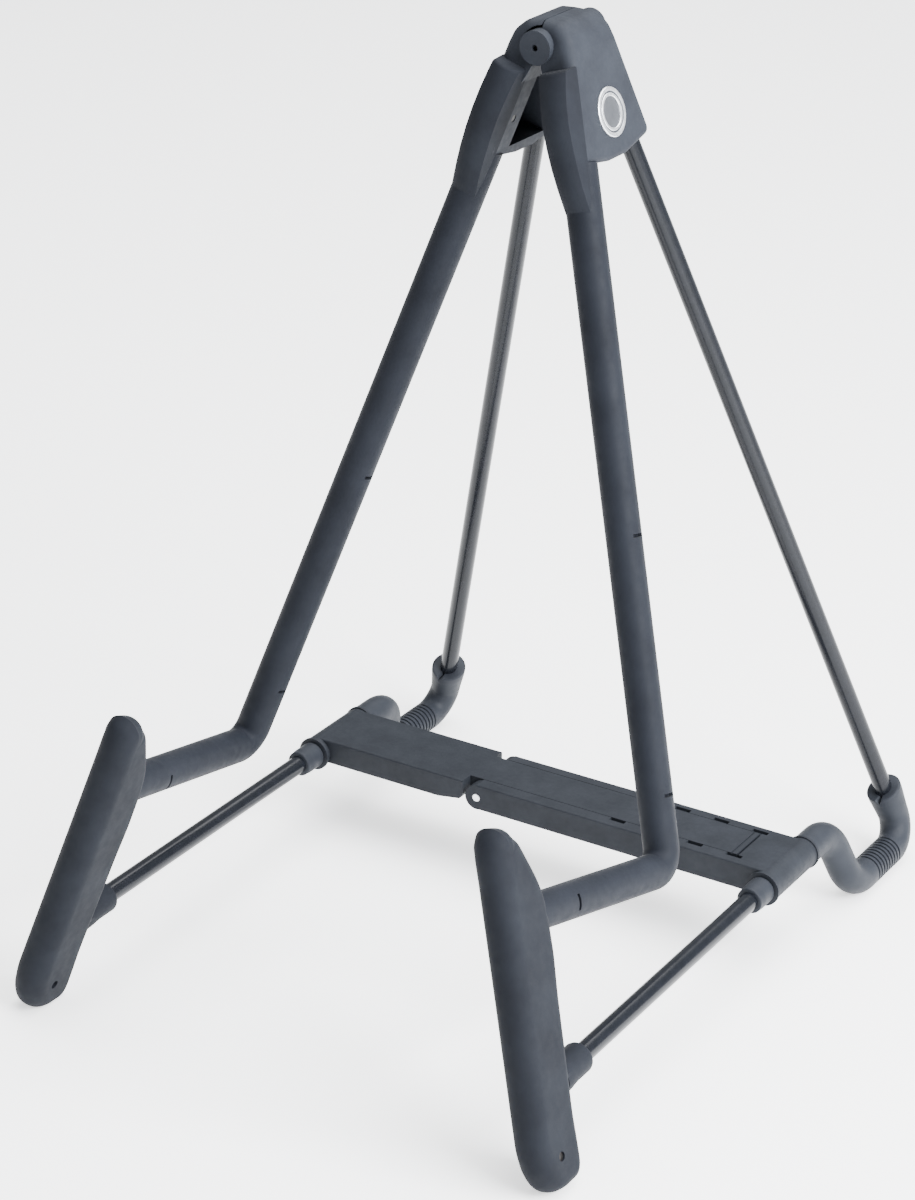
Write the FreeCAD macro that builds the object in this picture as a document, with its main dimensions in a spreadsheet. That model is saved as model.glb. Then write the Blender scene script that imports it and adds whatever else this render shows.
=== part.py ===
import FreeCAD, Part
import Sketcher
import math
import os
import re

# Folding A-frame floor stand for a guitar, standing open on a floor at z = 0.
# Each side frame lies in a plane that leans inwards by "tilt". Pieces of a side frame are drawn in that
# plane: local X points outwards, local Y to the back, local Z up along the lean. The finished piece is
# then turned about Y into place. The two sides are mirror images.

V = FreeCAD.Vector
doc = FreeCAD.newDocument("guitar_stand")
sheet = doc.addObject("Spreadsheet::Sheet", "Sizes")

SIZES = [
    ("tilt", 17.0),              # lean of each side frame, degrees
    ("back_shift", -1.7),        # centres the stand over its origin, front to back
    ("pin_height", 467.5),       # axis of the head hinge above the floor
    ("hinge_inset", 9.535),      # axis of the head hinge inside each tube plane
    ("tube_d", 10.0),
    ("tube_wall", 1.5),
    ("sleeve_d", 18.0),
    ("boot_d", 17.0),
    ("bend_y", -36.3),           # front tube: corner between arm and leg
    ("bend_up", 95.4),
    ("arm_end_y", -168.0),
    ("arm_end_up", 128.3),
    ("leg_top_y", 43.4),
    ("leg_top_drop", 18.8),      # drops are measured down the frame from the head hinge
    ("leg_bend_radius", 11.0),
    ("low_run_up", 46.2),        # base tube: height of the long lower run along the plane
    ("low_run_end_y", -180.0),
    ("drop_top_y", 122.0),
    ("drop_bottom_y", 134.0),
    ("heel_y", 200.0),
    ("rear_top_y", 73.7),
    ("rear_top_drop", 18.8),
    ("drop_radius", 18.0),
    ("heel_radius", 13.5),
    ("boot_front_y", 95.0),
    ("boot_mouth_up", 44.0),
    ("mouth_d", 20.0),
    ("mouth_len", 9.0),
    ("rib_pitch", 3.2),
    ("rib_depth", 0.8),
    ("rib_slot", 1.44),
    ("rib_count", 9.0),
    ("rib_first_y", 152.0),
    ("sleeve_top_drop", 60.8),
    ("sleeve_start_y", -153.0),
    ("collar_d", 14.0),
    ("collar_front_y", 31.9),
    ("collar_back_y", 46.6),
    ("barrel_d", 17.2),
    ("barrel_front_y", 46.9),
    ("barrel_back_y", 94.7),
    ("barrel_rim", 0.7),
    ("barrel_rim_w", 1.4),
    ("running_fit", 0.06),       # radial clearance of every turning joint
    ("bar_front_y", 50.6),
    ("bar_back_y", 92.4),
    ("bar_round", 0.8),
    ("front_rail_w", 8.0),
    ("back_rail_w", 6.6),
    ("rail_gap", 0.35),          # side clearance between tongue and rails
    ("bar_top_up", 7.6),         # bar surfaces measured from the knee axis
    ("bar_under", 7.1),
    ("left_bar_under", 6.1),
    ("bar_relief", 3.9),
    ("bar_relief_len", 24.7),
    ("knee_x", -35.75),
    ("knee_rise", 0.92),         # knee axis above the barrel axes
    ("knee_pin_d", 4.5),
    ("pin_proud", 0.3),
    ("pin_bevel", 0.25),
    ("badge_bevel", 0.3),
    ("knuckle_radius", 7.0),
    ("knuckle_gap", 0.6),
    ("knee_end_gap", 8.8),
    ("tongue_end_gap", 21.4),    # from the tongue's end to the right barrel axis
    ("link_rise", 1.6),          # undersides of the link and the tongue, above the knee axis
    ("tongue_under", 3.3),
    ("tongue_lip", 3.4),
    ("channel_gap", 0.45),
    ("tongue_gap", 1.2),
    ("notch_pitch", 23.1),
    ("notch_reach", 95.9),       # from the first notch to the right barrel axis
    ("notch_len", 9.0),
    ("notch_w", 2.8),
    ("notch_deep", 1.6),
    ("pocket_wall", 3.0),
    ("pocket_deep", 5.5),
    ("head_outer", 8.0),         # head: outer face, from the tube plane
    ("head_inner", 8.0),
    ("head_lip_drop", 57.8),
    ("head_belly", 4.0),
    ("head_front_gap", 8.2),
    ("head_back_low_y", 93.5),
    ("head_back_high_y", 79.5),
    ("head_back_lean", 8.0),
    ("head_back_rise", 2.0),
    ("head_back_sill", 1.0),
    ("head_belly_half", 8.0),
    ("head_top", 12.0),          # roof above the hinge axis
    ("head_roof_round", 8.0),
    ("head_shoulder_round", 10.0),
    ("head_lip_round", 4.0),
    ("head_brow_round", 6.0),
    ("head_rim_round", 2.5),
    ("head_past", 8.0),          # outlines run this far past the roof before they are crossed
    ("head_skin", 2.6),
    ("socket_wall", 7.6),
    ("pocket_lip", 1.5),
    ("seam_gap", 0.25),
    ("seam_foot_x", 2.6),        # the seam opens below the hinge, so that the halves can close
    ("head_roof_x", 9.5),
    ("head_shoulder_x", 16.0),
    ("head_shoulder_z", 5.5),
    ("head_shoulder_drop", 7.0),
    ("head_arch", 20.0),
    ("head_arch_x", 3.6),
    ("head_knuckle_r", 8.5),
    ("head_slot_r", 9.8),
    ("disc_front_y", 35.2),
    ("disc_w", 12.2),
    ("rear_disc_y", 79.8),
    ("rear_disc_w", 10.0),
    ("head_pin_d", 3.2),
    ("pin_recess", 3.0),
    ("hook_w", 6.4),
    ("hook_angle", 23.0),
    ("badge_d", 25.0),
    ("badge_y", 61.5),
    ("badge_drop", 39.8),
    ("badge_t", 1.4),
    ("badge_sink", 0.8),
    ("grub_d", 4.0),
    ("grub_drop", 39.8),
    ("grub_sink", 0.3),
    ("pad_screw_d", 2.5),
    ("pad_screw_len", 5.0),
    ("pad_screw_head", 1.4),
    ("pad_side", 0.4),           # pad and cushion stand proud of the hose inside them
    ("pad_toe_y", -201.3),
    ("pad_toe_up", 22.0),
    ("pad_brow_y", -175.0),
    ("pad_brow_up", 163.9),
    ("pad_crown_y", -168.0),
    ("pad_crown_up", 172.9),
    ("pad_nape_y", -160.6),
    ("pad_nape_up", 168.6),
    ("pad_bulge_y", -149.0),
    ("pad_bulge_up", 134.0),
    ("pad_elbow_y", -151.3),
    ("pad_elbow_up", 104.5),
    ("pad_heel_y", -171.6),
    ("pad_sole_y", -186.5),
    ("pad_round", 6.5),
    ("pad_corner", 6.0),
    ("pad_skin", 2.4),
    ("pad_rim", 4.0),
    ("boss_d", 16.0),
    ("boss_back_y", -142.0),
    ("pad_hole_y", -186.5),
    ("pad_hole_up", 18.0),
    ("pad_hole_d", 4.6),
    ("cushion_side", 0.2),
    ("cushion_front_y", 14.9),
    ("cushion_tip_y", 24.0),
    ("cushion_tip_drop", 82.8),
    ("cushion_top_drop", 15.8),
    ("cushion_nose_ease", 2.0),
    ("cushion_nose_rise", 16.0),
    ("cushion_full_rise", 28.0),
    ("cushion_brow_drop", 14.0),
    ("cushion_brow_ease", 2.5),
    ("cushion_tip_cover", 3.0),
    ("cushion_round", 7.0),
    ("slit_low_up", 130.7),
    ("slit_high_up", 256.0),
    ("slit_arm_y", -123.8),
    ("slit_w", 1.0),
    ("slit_len", 8.0),
    ("slit_deep", 1.2),
]
values = dict(SIZES)
for row, (alias, value) in enumerate(SIZES, start=1):
    sheet.set("A%d" % row, alias)
    sheet.set("B%d" % row, str(value))
    sheet.setAlias("B%d" % row, alias)
doc.recompute()

FUNCTIONS = ("sin", "cos", "tan", "atan", "sqrt")


def bound(formula):
    """The formula with every size name pointing at the sheet."""
    def point(match):
        word = match.group(0)
        return word if word in FUNCTIONS else "Sizes." + word
    return re.sub(r"[a-z_]+", point, formula)


def size(formula):
    """The number that a formula in size names stands for."""
    result = sheet.evalExpression(bound(formula))
    return float(getattr(result, "Value", result))


def signed(side, formula):
    return formula if side > 0 else "-(%s)" % formula


def hidden(kind, name):
    return doc.addObject(kind, name)


PLANES = {
    "XY": FreeCAD.Rotation(),
    "XZ": FreeCAD.Rotation(V(1, 0, 0), 90),
    "YZ": FreeCAD.Rotation(V(1, 1, 1), 120),
}


def corner_constraints(sketch, index, end, across, up):
    """Hold one end of a line at two distances from the sketch origin, both from the sheet."""
    for kind, formula in (("DistanceX", across), ("DistanceY", up)):
        value = size(formula)
        number = sketch.addConstraint(Sketcher.Constraint(kind, -1, 1, index, end, value))
        sketch.setExpression("Constraints[%d]" % number, bound(formula))


def draw_outline(sketch, corners):
    """A closed outline of straight lines through corners given as pairs of formulas."""
    flat = [V(size(u), size(v), 0) for u, v in corners]
    for i, start in enumerate(flat):
        sketch.addGeometry(Part.LineSegment(start, flat[(i + 1) % len(flat)]), False)
    for i in range(len(flat)):
        sketch.addConstraint(Sketcher.Constraint("Coincident", i, 2, (i + 1) % len(flat), 1))
    for i, (u, v) in enumerate(corners):
        corner_constraints(sketch, i, 1, u, v)


def free_sketch(name, plane):
    sketch = hidden("Sketcher::SketchObject", name)
    sketch.Placement = FreeCAD.Placement(V(0, 0, 0), PLANES[plane])
    return sketch


def slab(name, plane, corners, start, length):
    """An outline pushed square to its plane, from "start" over "length"."""
    sketch = free_sketch(name + "_outline", plane)
    draw_outline(sketch, corners)
    solid = hidden("Part::Extrusion", name)
    solid.Base = sketch
    solid.DirMode = "Custom"
    direction = {"XY": V(0, 0, 1), "XZ": V(0, 1, 0), "YZ": V(1, 0, 0)}[plane]
    solid.Dir = direction
    solid.Solid = True
    solid.setExpression("LengthFwd", bound(length))
    axis = {"XY": "z", "XZ": "y", "YZ": "x"}[plane]
    sketch.setExpression("Placement.Base." + axis, bound(start))
    return solid


def rod(name, diameter, length, place, turn=None):
    """A cylinder from "place", along Z unless turned."""
    solid = hidden("Part::Cylinder", name)
    solid.setExpression("Radius", bound("(%s)/2" % diameter))
    solid.setExpression("Height", bound(length))
    if turn is not None:
        solid.Placement = FreeCAD.Placement(V(0, 0, 0), turn)
    for axis, formula in zip("xyz", place):
        solid.setExpression("Placement.Base." + axis, bound(formula))
    return solid


def block(name, lows, lengths):
    solid = hidden("Part::Box", name)
    for prop, formula in zip(("Length", "Width", "Height"), lengths):
        solid.setExpression(prop, bound(formula))
    for axis, formula in zip("xyz", lows):
        solid.setExpression("Placement.Base." + axis, bound(formula))
    return solid


def joined(name, pieces):
    solid = hidden("Part::MultiFuse", name)
    solid.Shapes = pieces
    solid.Refine = True
    return solid


def cut(name, base, tools):
    tool = tools[0] if len(tools) == 1 else joined(name + "_tools", tools)
    solid = hidden("Part::Cut", name)
    solid.Base = base
    solid.Tool = tool
    solid.Refine = True
    return solid


def overlap(name, first, second):
    solid = hidden("Part::Common", name)
    solid.Base = first
    solid.Tool = second
    solid.Refine = True
    return solid


def softened(name, base, picks):
    """Round the edges that each (test, radius formula) pair picks by edge middle and direction."""
    doc.recompute()
    edges = []
    for number, edge in enumerate(base.Shape.Edges, start=1):
        middle = edge.valueAt((edge.FirstParameter + edge.LastParameter) / 2.0)
        for test, radius in picks:
            if test(middle, edge):
                edges.append((number, size(radius), size(radius)))
                break
    solid = hidden("Part::Fillet", name)
    solid.Base = base
    solid.Edges = edges
    return solid


def runs_through(plane, side, spot):
    """A test for the straight edge that crosses a view's plane at one corner of its outline."""
    across, up = side * size(spot[0]), size(spot[1])

    def test(middle, edge):
        here = middle.x if plane == "xz" else middle.y
        return math.hypot(here - across, middle.z - up) < 0.01
    return test


def bevelled(name, base, bevel):
    """A turned pin or disc with both rims bevelled."""
    doc.recompute()
    rims = []
    for number, edge in enumerate(base.Shape.Edges, start=1):
        if len(edge.Vertexes) == 1:
            rims.append((number, size(bevel), size(bevel)))
    solid = hidden("Part::Chamfer", name)
    solid.Base = base
    solid.Edges = rims
    return solid


TURN_Y = FreeCAD.Rotation(V(1, 0, 0), -90)     # a rod along +Y
finished = []


def finish(solid, label, side=0):
    """Name a finished piece and stand it in its side frame, or in the middle when side is 0."""
    holder = solid
    if side:
        turn = FreeCAD.Rotation(V(0, -side, 0), values["tilt"])
        holder.Placement = FreeCAD.Placement(V(0, 0, 0), turn)
        holder.setExpression("Placement.Rotation.Angle", bound("tilt"))
        holder.setExpression("Placement.Base.x", bound(signed(side, FOOT_X)))
    holder.setExpression("Placement.Base.y", bound("back_shift"))
    holder.Label = label
    finished.append(holder)
    return holder


def run_direction(a, b):
    d = V(b[0] - a[0], b[1] - a[1], 0)
    d.normalize()
    return d


def draw_route(sketch, corners, radii):
    """Straight runs joined by tangent arcs. The runs lie on dashed lines between the route's corners."""
    flat = [(size(u), size(v)) for u, v in corners]
    count = len(flat) - 1
    for i in range(count):
        a = V(flat[i][0], flat[i][1], 0)
        b = V(flat[i + 1][0], flat[i + 1][1], 0)
        sketch.addGeometry(Part.LineSegment(a, b), True)
    for i in range(count - 1):
        sketch.addConstraint(Sketcher.Constraint("Coincident", i, 2, i + 1, 1))
    for i, (u, v) in enumerate(corners[:-1]):
        corner_constraints(sketch, i, 1, u, v)
    corner_constraints(sketch, count - 1, 2, corners[-1][0], corners[-1][1])
    starts = [V(flat[0][0], flat[0][1], 0)]
    ends = []
    arcs = []
    for i in range(1, count):
        here = V(flat[i][0], flat[i][1], 0)
        before = run_direction(flat[i - 1], flat[i])
        after = run_direction(flat[i], flat[i + 1])
        radius = size(radii[i - 1])
        turn = math.acos(max(-1.0, min(1.0, before.dot(after))))
        reach = radius * math.tan(turn / 2.0)
        first = here - before * reach
        last = here + after * reach
        inward = after - before
        inward.normalize()
        centre = here + inward * (radius / math.cos(turn / 2.0))
        left_turn = before.x * after.y - before.y * after.x > 0
        low, high = (first, last) if left_turn else (last, first)
        low_angle = math.atan2(low.y - centre.y, low.x - centre.x)
        high_angle = math.atan2(high.y - centre.y, high.x - centre.x)
        if high_angle < low_angle:
            high_angle += 2.0 * math.pi
        arcs.append(Part.ArcOfCircle(Part.Circle(centre, V(0, 0, 1), radius), low_angle, high_angle))
        ends.append(first)
        starts.append(last)
    ends.append(V(flat[-1][0], flat[-1][1], 0))
    runs = []
    for i in range(count):
        runs.append(sketch.addGeometry(Part.LineSegment(starts[i], ends[i]), False))
    for i, curve in enumerate(arcs):
        index = sketch.addGeometry(curve, False)
        placed = sketch.Geometry[index]
        start_first = placed.StartPoint.distanceToPoint(ends[i]) < 1e-3
        near = 1 if start_first else 2
        far = 2 if start_first else 1
        sketch.addConstraint(Sketcher.Constraint("Tangent", runs[i], 2, index, near))
        sketch.addConstraint(Sketcher.Constraint("Tangent", runs[i + 1], 1, index, far))
        number = sketch.addConstraint(Sketcher.Constraint("Radius", index, size(radii[i])))
        sketch.setExpression("Constraints[%d]" % number, bound(radii[i]))
    for i in range(count):
        if i > 0:
            sketch.addConstraint(Sketcher.Constraint("PointOnObject", runs[i], 1, i))
        if i < count - 1:
            sketch.addConstraint(Sketcher.Constraint("PointOnObject", runs[i], 2, i))
    sketch.addConstraint(Sketcher.Constraint("Coincident", runs[0], 1, 0, 1))
    sketch.addConstraint(Sketcher.Constraint("Coincident", runs[-1], 2, count - 1, 2))


def origin_plane(body, role):
    for feature in body.Origin.OriginFeatures:
        if feature.Role == role:
            return feature
    raise ValueError(role)


def bent_tube(name, corners, radii, diameters):
    """A PartDesign body: rings swept along a route of runs and arcs in the frame plane."""
    body = doc.addObject("PartDesign::Body", name)
    doc.recompute()
    spine = body.newObject("Sketcher::SketchObject", name + "_route")
    spine.AttachmentSupport = [(origin_plane(body, "YZ_Plane"), "")]
    spine.MapMode = "FlatFace"
    draw_route(spine, corners, radii)
    doc.recompute()
    ring = body.newObject("Sketcher::SketchObject", name + "_ring")
    ring.AttachmentSupport = [(spine, "Edge1")]
    ring.MapMode = "NormalToEdge"
    doc.recompute()
    for diameter in diameters:
        index = ring.addGeometry(Part.Circle(V(0, 0, 0), V(0, 0, 1), size(diameter) / 2.0), False)
        ring.addConstraint(Sketcher.Constraint("Coincident", index, 3, -1, 1))
        number = ring.addConstraint(Sketcher.Constraint("Diameter", index, size(diameter)))
        ring.setExpression("Constraints[%d]" % number, bound(diameter))
    doc.recompute()
    pipe = body.newObject("PartDesign::AdditivePipe", name + "_pipe")
    pipe.Profile = ring
    pipe.Spine = spine
    pipe.Mode = "Standard"
    pipe.Transition = "Transformed"
    doc.recompute()
    body.Tip = pipe
    return body


def point_on(start, end, measure, value):
    """Where a straight run reaches a given value of one of its two coordinates."""
    (y0, z0), (y1, z1) = start, end
    if measure == "up":
        return ("(%s)+((%s)-(%s))*((%s)-(%s))/((%s)-(%s))" % (y0, y1, y0, value, z0, z1, z0), value)
    return (value, "(%s)+((%s)-(%s))*((%s)-(%s))/((%s)-(%s))" % (z0, z1, z0, value, y0, y1, y0))


def rod_between(name, diameter, start, end):
    """A cylinder in the frame plane from one point to another."""
    across = "((%s)-(%s))" % (end[0], start[0])
    rise = "((%s)-(%s))" % (end[1], start[1])
    solid = hidden("Part::Cylinder", name)
    angle = size("atan2(-%s; %s)" % (across, rise))
    if angle >= 0:
        solid.Placement = FreeCAD.Placement(V(0, 0, 0), FreeCAD.Rotation(V(1, 0, 0), angle))
        solid.setExpression("Placement.Rotation.Angle", bound("atan2(-%s; %s)" % (across, rise)))
    else:
        solid.Placement = FreeCAD.Placement(V(0, 0, 0), FreeCAD.Rotation(V(-1, 0, 0), -angle))
        solid.setExpression("Placement.Rotation.Angle", bound("atan2(%s; %s)" % (across, rise)))
    solid.setExpression("Radius", bound("(%s)/2" % diameter))
    solid.setExpression("Height", bound("sqrt(%s^2+%s^2)" % (across, rise)))
    solid.setExpression("Placement.Base.y", bound(start[0]))
    solid.setExpression("Placement.Base.z", bound(start[1]))
    return solid


# Where a frame plane meets the floor, and the turning axes in the front view.
FOOT_X = "((pin_height*sin(tilt)+hinge_inset)/cos(tilt))"
SHAFT_X = "(%s-low_run_up*sin(tilt))" % FOOT_X
SHAFT_Z = "(low_run_up*cos(tilt))"
KNEE_Z = "(%s+knee_rise)" % SHAFT_Z

# Heights along the frame plane that hang from the head hinge.
HINGE_S = "(pin_height*cos(tilt)+%s*sin(tilt))" % FOOT_X
SLEEVE_TOP = "(%s-sleeve_top_drop)" % HINGE_S
HEAD_LIP = "(%s-head_lip_drop)" % HINGE_S
BADGE_UP = "(%s-badge_drop)" % HINGE_S
GRUB_UP = "(%s-grub_drop)" % HINGE_S
CUSHION_TIP = "(%s-cushion_tip_drop)" % HINGE_S
CUSHION_TOP = "(%s-cushion_top_drop)" % HINGE_S

PAD_HALF = "(sleeve_d/2+pad_side)"
CUSHION_HALF = "(sleeve_d/2+cushion_side)"

# Corners of the two tube routes in the frame plane, as (back, up) formulas.
FLOOR_RUN = "(boot_d/2/cos(tilt))"
ARM_END = ("arm_end_y", "arm_end_up")
BEND = ("bend_y", "bend_up")
LEG_TOP = ("leg_top_y", "(%s-leg_top_drop)" % HINGE_S)
LOW_FRONT = ("low_run_end_y", "low_run_up")
DROP_TOP = ("drop_top_y", "low_run_up")
DROP_BOTTOM = ("drop_bottom_y", FLOOR_RUN)
HEEL = ("heel_y", FLOOR_RUN)
REAR_TOP = ("rear_top_y", "(%s-rear_top_drop)" % HINGE_S)



def leg_y(up):
    return point_on(BEND, LEG_TOP, "up", up)[0]


def rear_y(up):
    return point_on(HEEL, REAR_TOP, "up", up)[0]


def from_hinge(spot, side):
    """A point's (dx, dz) from the head hinge in the front view: the way back from near_hinge."""
    lean = math.radians(values["tilt"])
    out, up = spot.x * side + values["hinge_inset"], spot.z - size(HINGE_S)
    return out * math.cos(lean) - up * math.sin(lean), out * math.sin(lean) + up * math.cos(lean)


def near_hinge(dx, dz):
    """A point at (dx, dz) from the head hinge in the front view, in a side frame's own (out, up)."""
    out = "(%s)*cos(tilt)+(%s)*sin(tilt)-hinge_inset" % (dx, dz)
    up = "-(%s)*sin(tilt)+(%s)*cos(tilt)+%s" % (dx, dz, HINGE_S)
    return out, up


def mirrored(side, points):
    return [(signed(side, u), v) for u, v in points]


def side_name(side):
    return "right" if side > 0 else "left"


def front_tube(side):
    """Steel tube: from the pad back along the arm, up the leg and into the head."""
    body = bent_tube(side_name(side) + "_front", [ARM_END, BEND, LEG_TOP], ["leg_bend_radius"],
                     ["tube_d", "tube_d-2*tube_wall"])
    return finish(body, side_name(side) + "_leg_tube", side)


def base_tube(side):
    """Steel tube: along the floor side from the pad, down and back as the rear foot, up to the head."""
    corners = [LOW_FRONT, DROP_TOP, DROP_BOTTOM, HEEL, REAR_TOP]
    body = bent_tube(side_name(side) + "_base", corners, ["drop_radius", "drop_radius", "heel_radius"],
                     ["tube_d", "tube_d-2*tube_wall"])
    return finish(body, side_name(side) + "_base_tube", side)


def leg_sleeve(side):
    """Soft hose over the arm and leg, with short slits on both faces."""
    name = side_name(side) + "_hose"
    start = point_on(BEND, ARM_END, "back", "sleeve_start_y")
    end = point_on(BEND, LEG_TOP, "up", SLEEVE_TOP)
    hose = bent_tube(name, [start, BEND, end], ["leg_bend_radius"], ["sleeve_d", "tube_d"])
    slits = []
    for i, up in enumerate(("slit_low_up", "slit_high_up")):
        for face in (1, -1):
            low = "sleeve_d/2-slit_deep" if face > 0 else "-sleeve_d/2-1"
            slits.append(block("%s_slit_%d_%d" % (name, i, face + 1),
                               (low, "%s-slit_len/2" % leg_y(up), up),
                               ("slit_deep+1", "slit_len", "slit_w")))
    arm_up = point_on(BEND, ARM_END, "back", "slit_arm_y")[1]
    for face in (1, -1):
        low = "sleeve_d/2-slit_deep" if face > 0 else "-sleeve_d/2-1"
        slits.append(block("%s_slit_arm_%d" % (name, face + 1), (low, "slit_arm_y", "%s-slit_len/2" % arm_up),
                           ("slit_deep+1", "slit_w", "slit_len")))
    return finish(cut(name + "_cut", hose, slits), side_name(side) + "_leg_sleeve", side)


def rear_boot(side):
    """Rubber boot moulded over the drop and the rear foot, ribbed where it meets the floor."""
    name = side_name(side) + "_boot"
    start = ("boot_front_y", "low_run_up")
    end = point_on(HEEL, REAR_TOP, "up", "boot_mouth_up")
    shell = bent_tube(name, [start, DROP_TOP, DROP_BOTTOM, HEEL, end],
                      ["drop_radius", "drop_radius", "heel_radius"], ["boot_d", "tube_d"])
    groove_sketch = shell.newObject("Sketcher::SketchObject", name + "_rib_outline")
    groove_sketch.AttachmentSupport = [(origin_plane(shell, "YZ_Plane"), "")]
    groove_sketch.MapMode = "FlatFace"
    low = "%s+boot_d/2-rib_depth" % FLOOR_RUN
    high = "%s+boot_d/2+1" % FLOOR_RUN
    near = "rib_first_y"
    far = "rib_first_y+rib_slot"
    draw_outline(groove_sketch, [(near, low), (far, low), (far, high), (near, high)])
    axis = groove_sketch.addGeometry(Part.LineSegment(V(size(near), size(FLOOR_RUN), 0),
                                                      V(size(far), size(FLOOR_RUN), 0)), True)
    corner_constraints(groove_sketch, axis, 1, near, FLOOR_RUN)
    corner_constraints(groove_sketch, axis, 2, far, FLOOR_RUN)
    doc.recompute()
    before = shell.Shape.Volume
    groove = shell.newObject("PartDesign::Groove", name + "_rib")
    groove.Profile = groove_sketch
    groove.ReferenceAxis = (groove_sketch, ["Axis0"])
    groove.Angle = 360.0
    doc.recompute()
    pattern = shell.newObject("PartDesign::LinearPattern", name + "_ribs")
    pattern.Originals = [groove]
    pattern.Direction = (origin_plane(shell, "Y_Axis"), [""])
    pattern.setExpression("Length", bound("rib_pitch*(rib_count-1)"))
    pattern.Occurrences = int(values["rib_count"])
    shell.Tip = pattern
    doc.recompute()
    if not shell.Shape.Volume < before - 100.0:
        raise ValueError("the ribs were not cut")
    neck_start = point_on(HEEL, REAR_TOP, "up", "boot_mouth_up-mouth_len")
    neck = rod_between(name + "_neck", "mouth_d", neck_start, end)
    neck_bore = rod_between(name + "_neck_bore", "tube_d", neck_start,
                            point_on(HEEL, REAR_TOP, "up", "boot_mouth_up+mouth_len"))
    ring = cut(name + "_neck_ring", neck, [neck_bore])
    return finish(joined(name + "_whole", [shell, ring]), side_name(side) + "_rear_boot", side)


def tube_collar(side):
    """Rubber ring on the lower run that keeps the crossbar barrel in its place."""
    name = side_name(side) + "_collar"
    ring = rod(name + "_ring", "collar_d", "collar_back_y-collar_front_y",
               ("0", "collar_front_y", "low_run_up"), TURN_Y)
    bore = rod(name + "_bore", "tube_d", "collar_back_y-collar_front_y+2",
               ("0", "collar_front_y-1", "low_run_up"), TURN_Y)
    return finish(cut(name + "_cut", ring, [bore]), side_name(side) + "_tube_collar", side)


# Pad outline, clockwise from the toe, with the way each corner moves to become the core's outline.
SOLE = "((pad_round+(%s-pad_round)*sin(tilt))/cos(tilt)-pad_round)" % PAD_HALF
PAD = [
    ("pad_toe_y", "pad_toe_up", 1.0, 0.2),
    ("pad_brow_y", "pad_brow_up", 1.0, -0.3),
    ("pad_crown_y", "pad_crown_up", 0.2, -1.0),
    ("pad_nape_y", "pad_nape_up", -0.7, -0.7),
    ("pad_bulge_y", "pad_bulge_up", -1.0, 0.0),
    ("pad_elbow_y", "pad_elbow_up", -1.0, 0.0),
    ("pad_heel_y", SOLE, -0.9, 1.0),
    ("pad_sole_y", SOLE, 0.1, 1.0),
]


def pad_blank(name):
    """Side outline of the pad with a round front, its corners softened."""
    outline = slab(name + "_side", "YZ", [(y, up) for y, up, dy, dup in PAD], "-" + PAD_HALF, "2*" + PAD_HALF)
    half = size(PAD_HALF)

    def across(middle, edge):
        return abs(middle.x) < 0.01 and len(edge.Vertexes) == 2 and abs(edge.Vertexes[0].X) > half - 0.1

    def along_rim(middle, edge):
        return abs(abs(middle.x) - half) < 0.01

    soft = softened(name + "_corners", outline, [(across, "pad_corner")])
    rim = softened(name + "_rim", soft, [(along_rim, "pad_round")])
    doc.recompute()
    if rim.Shape.isNull() or not rim.Shape.isValid():
        raise ValueError("the pad rim failed")
    return rim


def pad_core_block(name):
    corners = [("(%s)+(%s)*pad_rim" % (y, dy), "(%s)+(%s)*pad_rim" % (up, dup)) for y, up, dy, dup in PAD]
    return slab(name, "YZ", corners, "-(%s-pad_skin)" % PAD_HALF,
                "2*(%s-pad_skin)" % PAD_HALF)


def pad(side):
    """Stiff core that holds both tube ends, its soft cover and the screw between them."""
    name = side_name(side) + "_pad"
    core_block = pad_core_block(name + "_core_block")
    arm = rod_between(name + "_arm_hole", "tube_d", ARM_END, BEND)
    low = rod(name + "_low_hole", "tube_d", "boss_back_y-low_run_end_y+5",
              ("0", "low_run_end_y", "low_run_up"), TURN_Y)
    hose = rod_between(name + "_hose_hole", "sleeve_d",
                       point_on(BEND, ARM_END, "back", "sleeve_start_y"), BEND)
    outer = signed(side, PAD_HALF + "-pad_skin")
    pilot_end = signed(side, PAD_HALF + "-pad_skin-pad_screw_len")
    way = FreeCAD.Rotation(V(0, 1, 0), 90 * side)
    pilot = rod(name + "_pilot", "pad_screw_d", "pad_screw_len",
                (pilot_end, "pad_hole_y", "pad_hole_up"), way)
    core = cut(name + "_core_cut", core_block, [arm, low, hose, pilot])
    finish(core, side_name(side) + "_pad_core", side)
    boss = rod(name + "_boss", "boss_d", "boss_back_y-pad_bulge_y+25",
               ("0", "pad_bulge_y-25", "low_run_up"), TURN_Y)
    blank = joined(name + "_skin_blank", [pad_blank(name + "_blank"), boss])
    hole = rod(name + "_hole", "pad_hole_d", "pad_skin+3", (outer, "pad_hole_y", "pad_hole_up"), way)
    cover = cut(name + "_cover_cut", blank, [pad_core_block(name + "_core_room"), arm, low, hose, hole])
    finish(cover, side_name(side) + "_pad_cover", side)
    head = rod(name + "_screw_head", "pad_hole_d-0.2", "pad_screw_head", (outer, "pad_hole_y", "pad_hole_up"),
               way)
    shank = rod(name + "_screw_shank", "pad_screw_d", "pad_screw_len",
                (pilot_end, "pad_hole_y", "pad_hole_up"), way)
    finish(joined(name + "_screw", [head, shank]), side_name(side) + "_pad_screw", side)


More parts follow.
